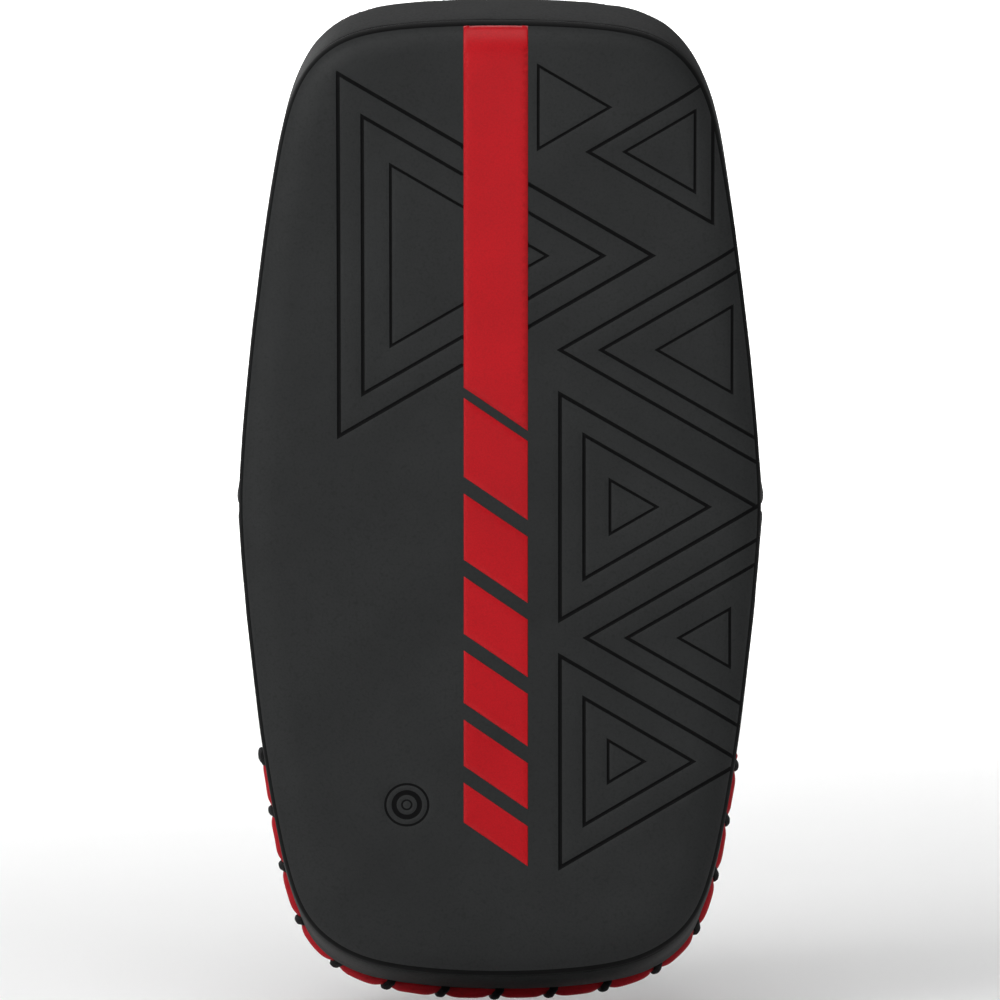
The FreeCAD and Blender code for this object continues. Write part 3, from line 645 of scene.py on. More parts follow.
def ink(name, base, rough=0.42):
    m, nt, b = material(name)
    v = coords(nt)
    soft = noise(nt, v, 200.0, 4.0)
    col = ramp(nt, soft, [(0.3, tuple(c * 0.7 for c in base)), (0.7, base)])
    nt.links.new(col, b.inputs["Base Color"])
    r = maths(nt, "MULTIPLY_ADD", soft, 0.15)
    r.node.inputs[2].default_value = rough
    nt.links.new(r, b.inputs["Roughness"])
    nt.links.new(bump(nt, noise(nt, v, 1500.0, 2.0), 0.3, 0.04 * MM), b.inputs["Normal"])
    b.inputs["Specular IOR Level"].default_value = 0.08
    return m


CHARCOAL = leather("charcoal_coated_leather", (0.0182, 0.0194, 0.0196), rough=0.52, grain=1100.0, depth=0.05, vary=0.07, wear=0.08, scuff=0.6, spec=0.18)
BLACK = leather("black_coated_leather", (0.0135, 0.0140, 0.0142), rough=0.60, grain=900.0, depth=0.07, vary=0.14, wear=0.2, spec=0.07)
BLACK_SOFT = leather("black_soft_leather", (0.0150, 0.0153, 0.0158), rough=0.58, grain=620.0, depth=0.10, vary=0.16, wear=0.3, spec=0.2)
RED = leather("red_coated_leather", (0.40, 0.0060, 0.0130), rough=0.52, grain=950.0, depth=0.06, vary=0.10, wear=0.1, spec=0.15)
FILM = film("red_printed_film", (0.45, 0.0012, 0.0062))
# black ink for the pressed line work and the printed mark, also used as painted shade along the seam between face and
# side wall
INK_AND_PAINTED_SEAM_SHADE = ink("black_line_ink_and_painted_seam_shade", (0.0030, 0.0031, 0.0033), 0.6)
THREAD = thread("black_thread", (0.012, 0.012, 0.013))
THREAD_GREY = thread("grey_thread", (0.055, 0.056, 0.058))
THREAD_RED = thread("red_thread", (0.42, 0.012, 0.025))
WEB = webbing("black_nylon_webbing", (0.0155, 0.0158, 0.0165))
LOOP = fleece("loop_fleece", (0.0135, 0.0137, 0.0145))
HOOK = fleece("hook_strip", (0.016, 0.016, 0.017), hook=True)
LACE = thread("black_lace", (0.0042, 0.0040, 0.0043))
CHROME = metal("plated_steel", (0.66, 0.66, 0.67), 0.14)
STEEL = metal("rivet_steel", (0.55, 0.55, 0.56), 0.26, brushed=0.2)
FOAM_DARK = foam("dense_foam", (0.05, 0.05, 0.055))
FOAM_PALE = foam("pale_foam", (0.62, 0.62, 0.60))
PLATE = ink("hard_sheet", (0.09, 0.09, 0.092), 0.4)

NODE_MATS = {
    "face_cover": CHARCOAL, "upper_gusset": BLACK, "lower_gusset": BLACK, "back_panel": BLACK, "stripe_film": FILM,
    "foam_strike_layer": FOAM_DARK, "foam_spreader_sheet": PLATE, "foam_core_layer": FOAM_PALE,
    "foam_rear_layer": FOAM_DARK, "edge_piping": RED, "edge_lace": LACE, "forearm_cushion_cover": BLACK_SOFT,
    "forearm_cushion_foam": FOAM_PALE, "hand_cushion_cover": BLACK_SOFT, "hand_cushion_foam": FOAM_PALE,
    "handle_ear_left": BLACK, "handle_ear_right": BLACK, "handle_rod": STEEL, "handle_end_caps": STEEL,
    "handle_rivets": STEEL, "handle_backing_plates": PLATE, "grip_foam": FOAM_DARK, "grip_cover": BLACK_SOFT}
for _n in STRAPS:
    _p = "strap_" + _n
    NODE_MATS.update({_p + "_web": WEB, _p + "_loop_patch": LOOP, _p + "_lining": BLACK_SOFT, _p + "_web_anchor": BLACK,
                      _p + "_ring_tab": WEB, _p + "_ring_anchor": BLACK, _p + "_ring": CHROME, _p + "_tail": WEB,
                      _p + "_hook_patch": HOOK, _p + "_pull_tab": RED})
for _name, _obj in NODES.items():
    _m = NODE_MATS.get(_name, BLACK)
    if not _obj.material_slots:
        _obj.data.materials.append(_m)
    for _s in _obj.material_slots:
        _s.material = _m


# ------------------------------------------------------------------ striking face
PX = 0.3916


def art(x, y):
    """A drawing point, on a 1000 x 1000 sheet over the face, to (across, along) in mm."""
    z = (500.5 - y) * PX
    return ((x - 500.0) * PX, R_REF * math.asin(z / R_FACE))


def tri(points, width):
    return (np.array([art(*p) for p in points]), width * PX)


# nested triangles: plain geometric line work pressed into the leather
LINES = [
    tri([(339, 78), (339, 438), (652, 258)], 3.9),
    tri([(363, 120), (363, 396), (603, 258)], 3.6),
    tri([(391, 168), (391, 348), (547, 258)], 2.9),
    tri([(538, 70), (538, 152), (609, 111)], 2.9),
    tri([(712, 84), (712, 226), (588, 155)], 3.5),
    tri([(694, 115), (694, 195), (624, 155)], 2.9),
    tri([(780, 226), (780, 478), (560, 352)], 3.6),
    tri([(760, 261), (760, 443), (601, 352)], 3.5),
    tri([(732, 309), (732, 395), (657, 352)], 2.9),
    tri([(560, 396), (560, 622), (757, 509)], 3.9),
    tri([(584, 437), (584, 581), (709, 509)], 3.5),
    tri([(610, 482), (610, 536), (657, 509)], 2.9),
    tri([(780, 529), (780, 751), (586, 640)], 3.6),
    tri([(760, 564), (760, 716), (627, 640)], 3.5),
    tri([(730, 611), (730, 669), (679, 640)], 2.9),
    tri([(560, 658), (560, 868), (742, 763)], 3.9),
    tri([(584, 700), (584, 826), (693, 763)], 3.5),
    tri([(608, 742), (608, 784), (644, 763)], 2.9),
]
MARK_AT = art(407, 806)
MARK = [(8.4, 0.9), (5.0, 2.0), (1.9, 0.7)]           # plain concentric rings: radius, line width
FILM_X = (-14.2, 10.9)
FILM_SLANT = 17.0
FILM_BARS = [(215.0, 43.5), (39.5, 8.5), (2.0, -24.0), (-30.5, -53.0), (-59.5, -80.0), (-86.5, -104.5),
             (-111.0, -126.5)]


def along(z):
    return R_REF * math.asin(z / R_FACE)


def film_polys():
    out = []
    for k, (top, bottom) in enumerate(FILM_BARS):
        rise = 0.0 if k == 0 else FILM_SLANT
        if k == 0:
            tops = [(x, None) for x in np.linspace(FILM_X[0], FILM_X[1], 12)]
            i0 = np.interp([x for x, _ in tops], *zip(*sorted((OUT[i % N_OUT][0], i) for i in range(-40, 41))))
            edge = outline_at(i0, -1.6)
            poly = [tuple(p) for p in edge] + [(FILM_X[1], along(bottom - FILM_SLANT)), (FILM_X[0], along(bottom))]
        else:
            poly = [(FILM_X[0], along(top)), (FILM_X[1], along(top - rise)),
                    (FILM_X[1], along(bottom - FILM_SLANT)), (FILM_X[0], along(bottom))]
        out.append(np.array(poly))
    return out


FILMS = film_polys()
ROUND_W = 16.0
SIDE_D = 9.2


def in_films(xs, grow=0.0):
    hit = np.zeros(len(xs), bool)
    for poly in FILMS:
        hit |= inside_poly(xs, offset_poly(poly, grow) if grow else poly)
    return hit


def seg_distance(xs, poly, closed=True):
    a = np.asarray(poly, float)
    b = np.roll(a, -1, 0)
    if not closed:
        a, b = a[:-1], b[:-1]
    ab = b - a
    t = np.clip(((xs[:, None, :] - a) * ab).sum(2) / (ab ** 2).sum(1), 0, 1)
    return np.linalg.norm(xs[:, None, :] - (a + t[..., None] * ab), axis=2).min(1)


def smooth01(t):
    t = np.clip(t, 0, 1)
    return t * t * (3 - 2 * t)


def face_depth(xs, grooves=True, film=None):
    """Depth of the face's surface at points (across, along)."""
    d = np.minimum(inset_of(xs), 60.0)
    base = 2.0 * (xs[:, 0] / 102.0) ** 2 - 0.9 + 0.22 * wobble(xs, 48.0, 1.0) + 0.08 * wobble(xs, 17.0, 2.0)
    t = np.clip(1 - d / ROUND_W, 0, 1)
    side = 1 - np.sqrt(np.clip(1 - t ** 2.15, 0, 1))
    depth = base + (SIDE_D - base) * side
    if grooves:
        g = np.zeros(len(xs))
        for poly, w in LINES:
            box0, box1 = poly.min(0) - 4, poly.max(0) + 4
            near = ((xs >= box0) & (xs <= box1)).all(1)
            if not near.any():
                continue
            dist = seg_distance(xs[near], poly)
            p = np.where(dist < w * 0.26, 1.0, 1 - 0.62 * smooth01((dist - w * 0.26) / (w * 0.24)))
            p = np.where(dist > w * 0.5, 0.38 * (1 - smooth01((dist - w * 0.5) / 1.5)), p)
            g[near] = np.maximum(g[near], p)
        under = np.zeros(len(xs), bool)
        for poly in FILMS:
            under |= inside_poly(xs, poly)
        g[under] = 0
        depth = depth + 0.62 * g * smooth01(d / 5.0)
        md = np.linalg.norm(xs - np.array(MARK_AT), axis=1)
        for r, w in MARK:
            depth = depth + 0.12 * (1 - smooth01((np.abs(md - r) - w * 0.5) / 0.4))
    inner = np.clip(d - 1.8, 0, 10.2)
    foam = 12.0 - np.sqrt(np.clip(104.04 - (10.2 - inner) ** 2, 0, None))
    return np.minimum(depth, foam - 0.22)


RINGS = [0.06, 0.22, 0.5, 0.95, 1.6, 2.5, 3.6, 5.0, 6.8, 9.0, 11.6, 14.6, 18.5]


def face_points(step):
    g = hex_grid(-104, 104, -205, 205, step)
    g = g[inside_poly(g, OUT)]
    return g[inset_of(g) > 20.0]


def build_face():
    loops = []
    for d in RINGS:
        ring = outline_at(np.arange(N_OUT) if d < 6 else np.arange(0, N_OUT, 2), -d)
        loops.append((ring, True))
    near_lines = []
    for poly, w in LINES:
        for off in (w / 2 + 1.5, w / 2 + 0.7, w / 2 + 0.12, w / 2, w * 0.26, -w * 0.26, -w / 2, -w / 2 - 0.12,
                    -w / 2 - 0.7, -w / 2 - 1.5):
            q = divide(offset_poly(poly, off), 2.2)
            keep = inside_poly(q, OUT)
            keep &= inset_of(q) > 0.8
            keep &= ~in_films(q)
            if keep.all():
                loops.append((q, True))
            elif keep.any():
                start = int(np.argmin(keep))
                q, keep = np.roll(q, -start, 0), np.roll(keep, -start)
                run = []
                for k in range(len(q) + 1):
                    if k < len(q) and keep[k]:
                        run.append(q[k])
                    else:
                        if len(run) > 1:
                            loops.append((np.array(run), False))
                        run = []
        near_lines.append(poly)
    for r, w in MARK:
        for rr in (r - w / 2 - 0.35, r - w / 2, r + w / 2, r + w / 2 + 0.35):
            a = np.linspace(0, 2 * np.pi, max(20, int(rr * 7)), endpoint=False)
            loops.append((np.stack([MARK_AT[0] + rr * np.cos(a), MARK_AT[1] + rr * np.sin(a)], 1), True))
    for poly in FILMS:
        loops.append((divide(poly, 2.4), True))
    pts = face_points(3.1)
    keep = np.ones(len(pts), bool)
    for poly, w in LINES:
        keep &= seg_distance(pts, poly) > w / 2 + 2.3
    keep &= np.abs(np.linalg.norm(pts - np.array(MARK_AT), axis=1) - 5.0) > 6.0
    pts = pts[keep]
    boundary = OUT.copy()
    vs, fs, rim = triangulate(pts, loops, boundary)
    depth = face_depth(vs)
    top = bend(vs, depth)
    # material: ink on the line floors and the printed mark, and painted shade on the face's outer rim at the seam
    cen = vs[np.array(fs)].mean(1)
    ink_and_painted_seam_shade = np.zeros(len(fs), bool)
    for poly, w in LINES:
        box0, box1 = poly.min(0) - 3, poly.max(0) + 3
        near = np.where(((cen >= box0) & (cen <= box1)).all(1))[0]
        ink_and_painted_seam_shade[near] |= seg_distance(cen[near], poly) < w / 2
    md = np.linalg.norm(cen - np.array(MARK_AT), axis=1)
    for r, w in MARK:
        ink_and_painted_seam_shade |= np.abs(md - r) < w / 2
    for poly in FILMS:
        ink_and_painted_seam_shade &= ~inside_poly(cen, poly)
    ink_and_painted_seam_shade |= inset_of(cen) < 1.6                        # the turned edge at the seam: black ink here is painted shade for the shadowed seam groove
    verts = [top]
    faces = [tuple(f) for f in fs]
    mats = list(ink_and_painted_seam_shade.astype(int))
    base = len(vs)
    prev = [rim[k] for k in range(N_OUT)]
    for inset, dep in ((0.03, 9.65), (0.35, 10.1), (1.0, 10.38), (1.9, 10.45), (1.9, 11.8)):
        ring = bend(outline_at(np.arange(N_OUT), -inset), dep)
        verts.append(ring)
        cur = list(range(base, base + N_OUT))
        base += N_OUT
        for k in range(N_OUT):
            j = (k + 1) % N_OUT
            faces.append((prev[k], prev[j], cur[j], cur[k]))
            mats.append(0)
        prev = cur
    inner = outline_at(np.arange(N_OUT), -1.9)
    coarse = hex_grid(-104, 104, -205, 205, 9.0)
    coarse = coarse[inside_poly(coarse, OUT)]
    coarse = coarse[inset_of(coarse) > 8.0]
    iv, ifs, irim = triangulate(coarse, [(outline_at(np.arange(0, N_OUT, 4), -5.0), True)], inner)
    idep = face_depth(iv, grooves=False) + 2.0
    rimset = set(irim)
    idx = {}
    extra = []
    for i in range(len(iv)):
        if i in rimset:
            continue
        idx[i] = base + len(extra)
        extra.append(bend(iv[i:i + 1], np.maximum(idep[i:i + 1], 1.6))[0])
    for k, i in enumerate(irim):
        idx[i] = prev[k]
    verts.append(np.array(extra))
    for f in ifs:
        faces.append(tuple(idx[i] for i in f)[::-1])
        mats.append(0)
    ob = new_mesh("face_leather", np.concatenate(verts), faces, True, [CHARCOAL, INK_AND_PAINTED_SEAM_SHADE], mats)
    recalc(ob)
    return ob


face = build_face()
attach(face, "pad")
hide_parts("face_cover")


def build_film():
    obs = []
    for k, poly in enumerate(FILMS):
        rim_pts = divide(poly, 1.8)
        inner = offset_poly(poly, -0.35) if k else None
        loops = []
        if inner is not None:
            loops.append((divide(inner, 1.8), True))
        g = hex_grid(poly[:, 0].min(), poly[:, 0].max(), poly[:, 1].min(), poly[:, 1].max(), 2.6)
        g = g[inside_poly(g, poly)]
        g = g[seg_distance(g, poly) > 1.1]
        if k == 0:
            for d in RINGS[1:]:
                xs = np.linspace(FILM_X[0] + 0.4, FILM_X[1] - 0.4, 14)
                i0 = np.interp(xs, *zip(*sorted((OUT[i % N_OUT][0], i) for i in range(-40, 41))))
                g = np.concatenate([g[inset_of(g) > 19.5] if d == RINGS[1] else g, outline_at(i0, -d)])
        vs, fs, rim = triangulate(g, loops, rim_pts)
        e = 0.15
        d0 = face_depth(vs, grooves=False)
        p = bend(vs, d0)
        px = bend(vs + np.array([e, 0]), face_depth(vs + np.array([e, 0]), grooves=False))
        mx = bend(vs - np.array([e, 0]), face_depth(vs - np.array([e, 0]), grooves=False))
        ps = bend(vs + np.array([0, e]), face_depth(vs + np.array([0, e]), grooves=False))
        ms = bend(vs - np.array([0, e]), face_depth(vs - np.array([0, e]), grooves=False))
        n = np.cross(px - mx, ps - ms)
        n /= np.linalg.norm(n, axis=1)[:, None]
        n *= -np.sign(n[:, 1:2] + 1e-9)                 # towards the striking side
        rimset = set(rim)
        lift = np.array([0.06 if i in rimset else 0.24 for i in range(len(vs))])
        top = p + n * lift[:, None] * MM
        low = p[rim] - n[rim] * 0.10 * MM
        nb = len(rim)
        base = len(top)
        faces = [tuple(f) for f in fs]
        for a in range(nb):
            b2 = (a + 1) % nb
            faces.append((rim[a], rim[b2], base + b2, base + a))
        mid = p - n * 0.10 * MM
        base2 = base + nb
        idx = {rim[a]: base + a for a in range(nb)}
        extra = []
        for i in range(len(vs)):
            if i not in idx:
                idx[i] = base2 + len(extra)
                extra.append(mid[i])
        for f in fs:
            faces.append(tuple(idx[i] for i in f)[::-1])
        allv = np.concatenate([top, low] + ([np.array(extra)] if extra else []))
        ob = new_mesh("film_part_%d" % k, allv, faces, True, [FILM])
        recalc(ob)
        obs.append(ob)
    return join("film_stripe_and_bars", obs)


film_ob = build_film()
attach(film_ob, "pad")
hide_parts("stripe_film")

# ------------------------------------------------------------------ side walls
JOIN_S = -4.0
s_zero_right = float(np.interp(-JOIN_S, -OUT[:N_OUT // 2, 1], np.arange(N_OUT // 2)))
s_zero_left = float(N_OUT // 2 + np.interp(JOIN_S, OUT[N_OUT // 2:, 1], np.arange(N_OUT - N_OUT // 2)))
WALL_ROWS = [(10.75, -1.9), (10.85, -1.45), (11.05, -1.12), (11.5, -0.86), (12.3, -0.56), (13.5, -0.24), (15.6, 0.10),
             (19.5, 0.42), (26, 0.64), (35, 0.72), (45, 0.70), (54, 0.60), (61, 0.46), (66, 0.34), (70, 0.20),
             (73, 0.06), (75.2, -0.12), (76.6, -0.40), (77.4, -0.85), (77.7, -1.5)]


def noise1(f, period, seed):
    """Smooth noise along the closed outline; period in outline steps."""
    rng = np.random.default_rng(seed)
    k = max(4, int(N_OUT / period))
    v = rng.uniform(-1, 1, k)
    t = (np.asarray(f) % N_OUT) / N_OUT * k
    i = np.floor(t).astype(int)
    u = t - i
    u = u * u * (3 - 2 * u)
    return v[i % k] * (1 - u) + v[(i + 1) % k] * u


def corner_of(f):
    """1 on the rounded corners of the outline, 0 along its straight sides and ends."""
    p = outline_at(f, 0)
    n = outline_at(f, 1) - p
    n /= np.linalg.norm(n, axis=1)[:, None]
    return (2 * n[:, 0] * n[:, 1]) ** 2


def build_wall(name, f0, f1, lower, mat):
    """One side wall piece from outline index f0 to f1 (increasing)."""
    fine = np.array([0, .12, .28, .5, .8, 1.2, 1.8, 2.5, 3.4, 4.4])
    cols = np.concatenate([f0 + fine, np.arange(math.ceil(f0 + 5.2), math.floor(f1 - 5.2) + 1), f1 - fine[::-1]])
    ds = np.minimum(cols - f0, f1 - cols) * OUT_STEP
    rows = []
    for depth, out in WALL_ROWS:
        o = np.full(len(cols), out)
        front = math.exp(-max(depth - 10.6, 0) / 5.0)
        back = math.exp(-max(77.7 - depth, 0) / 6.5)
        o += 0.30 * noise1(cols, 3.1, 11) * front * (depth > 10.9)
        o += 0.26 * noise1(cols, 3.4, 12) * back * (depth < 77.2)
        o += 0.40 * noise1(cols + depth * 0.12, 30, 13) * (1 - front) * (1 - back)
        o += 0.14 * noise1(cols - depth * 0.2, 8, 14) * (1 - front) * (1 - back)
        o -= 1.25 * np.exp(-(ds / 1.3) ** 2)                       # the join is sewn in
        if not lower:
            o += 0.75 * np.exp(-((ds - 5.0) / 3.6) ** 2) * (1 - front)
        else:
            o += 0.30 * np.exp(-((ds - 4.0) / 3.0) ** 2) * (1 - front)
            o += 1.5 * corner_of(cols) * math.exp(-((depth - 68.0) / 9.0) ** 2)
        rows.append(bend(outline_at(cols, o), depth + 0.18 * noise1(cols, 5, 15) * (front if depth > 11 else 0)))
    for depth, out in ((76.0, -3.0), (60, -2.6), (40, -2.5), (20, -2.6), (12.4, -3.0)):
        rows.append(bend(outline_at(cols, np.full(len(cols), out)), depth))
    n, c = len(rows), len(cols)
    faces = grid_faces(n, c, True, False)
    faces.append(tuple(i * c for i in range(n)))
    faces.append(tuple(i * c + c - 1 for i in range(n))[::-1])
    # painted shade: the faces of the wall's first five rows, depth 10.75 to 13.5 mm by the seam, take the black ink to
    # stand in for the shadow in the seam's crease
    ob = new_mesh(name, np.concatenate(rows), faces, True, [mat, INK_AND_PAINTED_SEAM_SHADE], [int(f[0] < 5 * c and max(f) < 6 * c) for f in faces])
    recalc(ob)
    sharpen(ob, 50)
    return ob


upper_wall = build_wall("upper_side_wall", s_zero_left - N_OUT + 0.06, s_zero_right - 0.06, False, BLACK)
lower_wall = build_wall("lower_side_wall", s_zero_right + 0.06, s_zero_left - 0.06, True, BLACK)
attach(upper_wall, "pad")
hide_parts("upper_gusset")
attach(lower_wall, "pad")
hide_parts("lower_gusset")


def outline_normals(f):
    p = outline_at(f, 0)
    q = outline_at(f, 1)
    a = bend(p, 40.0)
    b = bend(q, 40.0)
    n = b - a
    return n / np.linalg.norm(n, axis=1)[:, None]


_f = np.arange(0, N_OUT + 1)
_n = outline_normals(_f)
_front = np.array([0.0, -1.0, 0.0])
row_a = stitches("seam_stitches_front", bend(outline_at(_f, -0.56), 12.4), _n * 0.9 + _front * 0.4, THREAD, 2.7, 1.1, 0.34)
row_b = stitches("seam_stitches_back", bend(outline_at(_f, -0.30), 74.6), _n, THREAD, 2.7, 1.1, 0.30)
# stitches up the two joins of the side walls, both sides of each
joins = []
for f_at, sgn in ((s_zero_right, 1), (s_zero_left, -1)):
    for off in (-1.5, 1.5):
        dd = np.linspace(13.5, 74, 50)
        ff = np.full(50, f_at + off)
        ot = np.interp(dd, [r[0] for r in WALL_ROWS], [r[1] for r in WALL_ROWS])
        pts_j = np.stack([bend(outline_at(ff[k:k + 1], ot[k] - 0.22), dd[k])[0] for k in range(50)])
        joins.append(stitches("join_stitches", pts_j, np.repeat(outline_normals(ff[:1]), 50, 0), THREAD, 2.7, 1.1, 0.34))
seams = join("side_seam_thread", [row_a, row_b] + joins)
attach(seams, "pad")

# ------------------------------------------------------------------ back panel
HAND_S = R_REF * 0 + (R_FACE + D_BACK) * math.asin(HAND_Z / (R_FACE + D_BACK))   # arc length on the back
BACK_SCALE = R_REF / (R_FACE + D_BACK)


def build_back():
    rings = [1.35, 1.8, 2.5, 3.6, 5.2, 8.0, 12.0, 17.0]
    loops = [(outline_at(np.arange(0, N_OUT, 2), -d), True) for d in rings]
    g = hex_grid(-104, 104, -205, 205, 4.2)
    g = g[inside_poly(g, OUT)]
    g = g[inset_of(g) > 19.5]
    boundary = outline_at(np.arange(0, N_OUT, 2), -1.0)
    vs, fs, rim = triangulate(g, loops, boundary)
    d = inset_of(vs)
    depth = 78.35 - 1.0 * (1 - smooth01((d - 1.0) / 1.6)) + 0.30 * smooth01((d - 4) / 10) \
        - 0.22 * np.exp(-((d - 4.4) / 0.8) ** 2) + 0.16 * wobble(vs, 42, 5.0) * smooth01(d / 12) + 0.05 * wobble(vs, 12, 6.0)
    top = bend(vs, depth)
    nb = len(rim)
    base = len(vs)
    faces = [tuple(f) for f in fs]
    low = bend(outline_at(np.arange(0, N_OUT, 2), -1.2), 76.3)
    for a in range(nb):
        b2 = (a + 1) % nb
        faces.append((rim[a], rim[b2], base + b2, base + a))
    iv, ifs, irim = triangulate(hex_grid(-90, 90, -190, 190, 12.0)[inset_of(hex_grid(-90, 90, -190, 190, 12.0)) > 9],
                                [], outline_at(np.arange(0, N_OUT, 2), -1.2))
    idx, extra, base2 = {}, [], base + nb
    for k, i in enumerate(irim):
        idx[i] = base + k
    for i in range(len(iv)):
        if i not in idx:
            idx[i] = base2 + len(extra)
            extra.append(bend(iv[i:i + 1], 76.3)[0])
    for f in ifs:
        faces.append(tuple(idx[i] for i in f)[::-1])
    ob = new_mesh("back_leather", np.concatenate([top, low, np.array(extra)]), faces, True, [BLACK])
    recalc(ob)
    return ob


back = build_back()
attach(back, "pad")
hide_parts("back_panel")
_up = np.array([0.0, 1.0, 0.0])
back_row = stitches("back_edge_thread", bend(outline_at(_f, -4.4), 78.42), np.tile(_up, (len(_f), 1)), THREAD, 2.7, 1.1, 0.34)
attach(back_row, "pad")

# ------------------------------------------------------------------ laced edge
lower_idx = [i for i in range(N_OUT) if OUT[i][1] < LACED_BELOW + 2.0 - 4.0]
first_i, last_i = lower_idx[0], lower_idx[-1]
_len = (last_i - first_i) * OUT_STEP
n_lace = int(_len // LACE_PITCH) + 1
_spare = _len - (n_lace - 1) * LACE_PITCH
STATIONS = np.array([first_i + (_spare / 2 + k * LACE_PITCH) / OUT_STEP for k in range(n_lace)])
SLANT = 4.0 / OUT_STEP


def build_piping():
    f = np.arange(first_i - 0.6, last_i + 0.7, 0.5)
    ends = np.minimum(f - f[0], f[-1] - f) * OUT_STEP
    pinch = np.zeros(len(f))
    for st in STATIONS + 0.55 * SLANT:
        pinch = np.maximum(pinch, np.exp(-(((f - st) * OUT_STEP) / 3.4) ** 2))
    fat = 1.20 - 0.50 * pinch + 0.04 * noise1(f, 4, 21) + 0.05 * noise1(f, 9, 22)
    taper = np.clip(ends / 3.0, 0.12, 1) ** 0.5
    # section (out, depth), going round: the tape folds over the edge and runs in on the back
    sec = [(-0.6, 73.6), (0.4, 73.15), (1.3, 73.2), (2.1, 73.7), (2.7, 74.5), (2.95, 75.5), (2.9, 76.6), (2.45, 77.6),
           (1.6, 78.35), (0.5, 78.75), (-1.2, 78.95), (-3.4, 79.05), (-5.6, 79.05), (-6.1, 78.9), (-6.2, 78.5), (-5.9, 78.1),
           (-2.0, 77.9), (-0.9, 76.6), (-0.9, 74.6)]
    rows = []
    for k, (o, dep) in enumerate(sec):
        grow = (fat - 1.0) if o > -1.0 and dep < 79 else (fat - 1.0) * 0.2
        oo = o + grow * 3.2 * (o > 0.2) * (o / 2.9)
        cx, cd = -0.5, 76.4
        oo = cx + (oo - cx) * taper
        dd = cd + (dep - cd) * taper + 0.12 * noise1(f + k * 2, 3, 23) * (o > 0)
        rows.append(np.stack([bend(outline_at(f[j:j + 1], oo[j]), dd[j])[0] for j in range(len(f))]))
    n, c = len(rows), len(f)
    faces = grid_faces(n, c, True, False)
    faces.append(tuple(i * c for i in range(n)))
    faces.append(tuple(i * c + c - 1 for i in range(n))[::-1])
    ob = new_mesh("red_edge_binding", np.concatenate(rows), faces, True, [RED])
    recalc(ob)
    return ob, f


piping, _pf = build_piping()
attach(piping, "pad")
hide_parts("edge_piping")
bind_row = stitches("binding_thread", bend(outline_at(_pf[2:-2], -4.6), 79.10), np.tile(_up, (len(_pf) - 4, 1)), THREAD_RED, 2.5, 1.0, 0.32)
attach(bind_row, "pad")


def build_lace():
    """One flat cord, over the binding at each station and back inside, with braid relief."""
    ctrl, ups = [], []
    for f in STATIONS:
        g = f + SLANT
        for ff, out, dep, up in ((f, -4.6, 69.0, (1, 0)), (f, -1.5, 68.8, (1, 0.1)), (f, 1.0, 69.2, (1, 0.0)),
                                 (f + .15 * SLANT, 1.6, 70.8, (1, -0.2)), (f + .4 * SLANT, 2.5, 73.0, (1, -0.2)),
                                 (f + .5 * SLANT, 3.1, 75.6, (1, 0.1)), (f + .6 * SLANT, 2.9, 77.8, (0.9, 0.6)),
                                 (f + .7 * SLANT, 1.9, 79.5, (0.45, 1)), (f + .8 * SLANT, -1.0, 80.2, (0.05, 1)),
                                 (f + .92 * SLANT, -4.6, 80.3, (0, 1)), (g, -7.2, 79.9, (-0.2, 1)),
                                 (g, -8.3, 78.0, (-1, 0.5)), (g, -8.6, 75.5, (-1, 0)), (g + 1.2, -8.4, 72.8, (-1, -0.2))):
            p = bend(outline_at(ff, out), dep)[0]
            q = bend(outline_at(ff, out + up[0]), dep + up[1])[0]
            ctrl.append(p)
            ups.append((q - p) / np.linalg.norm(q - p))
    ctrl, ups = np.array(ctrl), np.array(ups)
    # smooth the control line with a cubic B-spline
    def bspline(c, per):
        out = []
        c = np.concatenate([[2 * c[0] - c[1]], c, [2 * c[-1] - c[-2]]])
        for i in range(1, len(c) - 2):
            for t in np.arange(per) / per:
                b0, b1 = (1 - t) ** 3 / 6, (3 * t ** 3 - 6 * t ** 2 + 4) / 6
                b2, b3 = (-3 * t ** 3 + 3 * t ** 2 + 3 * t + 1) / 6, t ** 3 / 6
                out.append(b0 * c[i - 1] + b1 * c[i] + b2 * c[i + 1] + b3 * c[i + 2])
        return np.array(out)
    path, up = bspline(ctrl, 4), bspline(ups, 4)
    t, n, b = path_frames(path, up)
    seg = np.concatenate([[0], np.cumsum(np.linalg.norm(np.diff(path, axis=0), axis=1))]) / MM
    sides = 14
    ang = np.arange(sides) * 2 * np.pi / sides
    verts = []
    last = len(path) - 14 * 4
    for i in range(len(path)):
        # flattened section, 3.5 wide and 2.1 thick, with a braid's bumps running both ways; knotted at the last crossing
        br = 1 + 0.06 * np.cos(2 * ang + seg[i] * 2.1) * np.cos(ang * 3 - seg[i] * 2.6)
        k = math.exp(-((i - last - 21) / 8.5) ** 2)
        lump = 1 + 0.12 * k * math.sin(i * 0.9)
        verts.append(path[i] + (np.sin(ang) * (1.08 + 0.55 * k) * br * lump)[:, None] * n[i] * MM
                     + (np.cos(ang) * (1.85 + 1.9 * k) * br)[:, None] * b[i] * MM)
    faces = grid_faces(len(path), sides, False, True)
    faces.append(tuple(range(sides))[::-1])
    faces.append(tuple((len(path) - 1) * sides + k for k in range(sides)))
    ob = new_mesh("edge_lace_cord", np.concatenate(verts), faces, True, [LACE])
    recalc(ob)
    return ob


lace_ob = build_lace()
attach(lace_ob, "pad")
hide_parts("edge_lace")


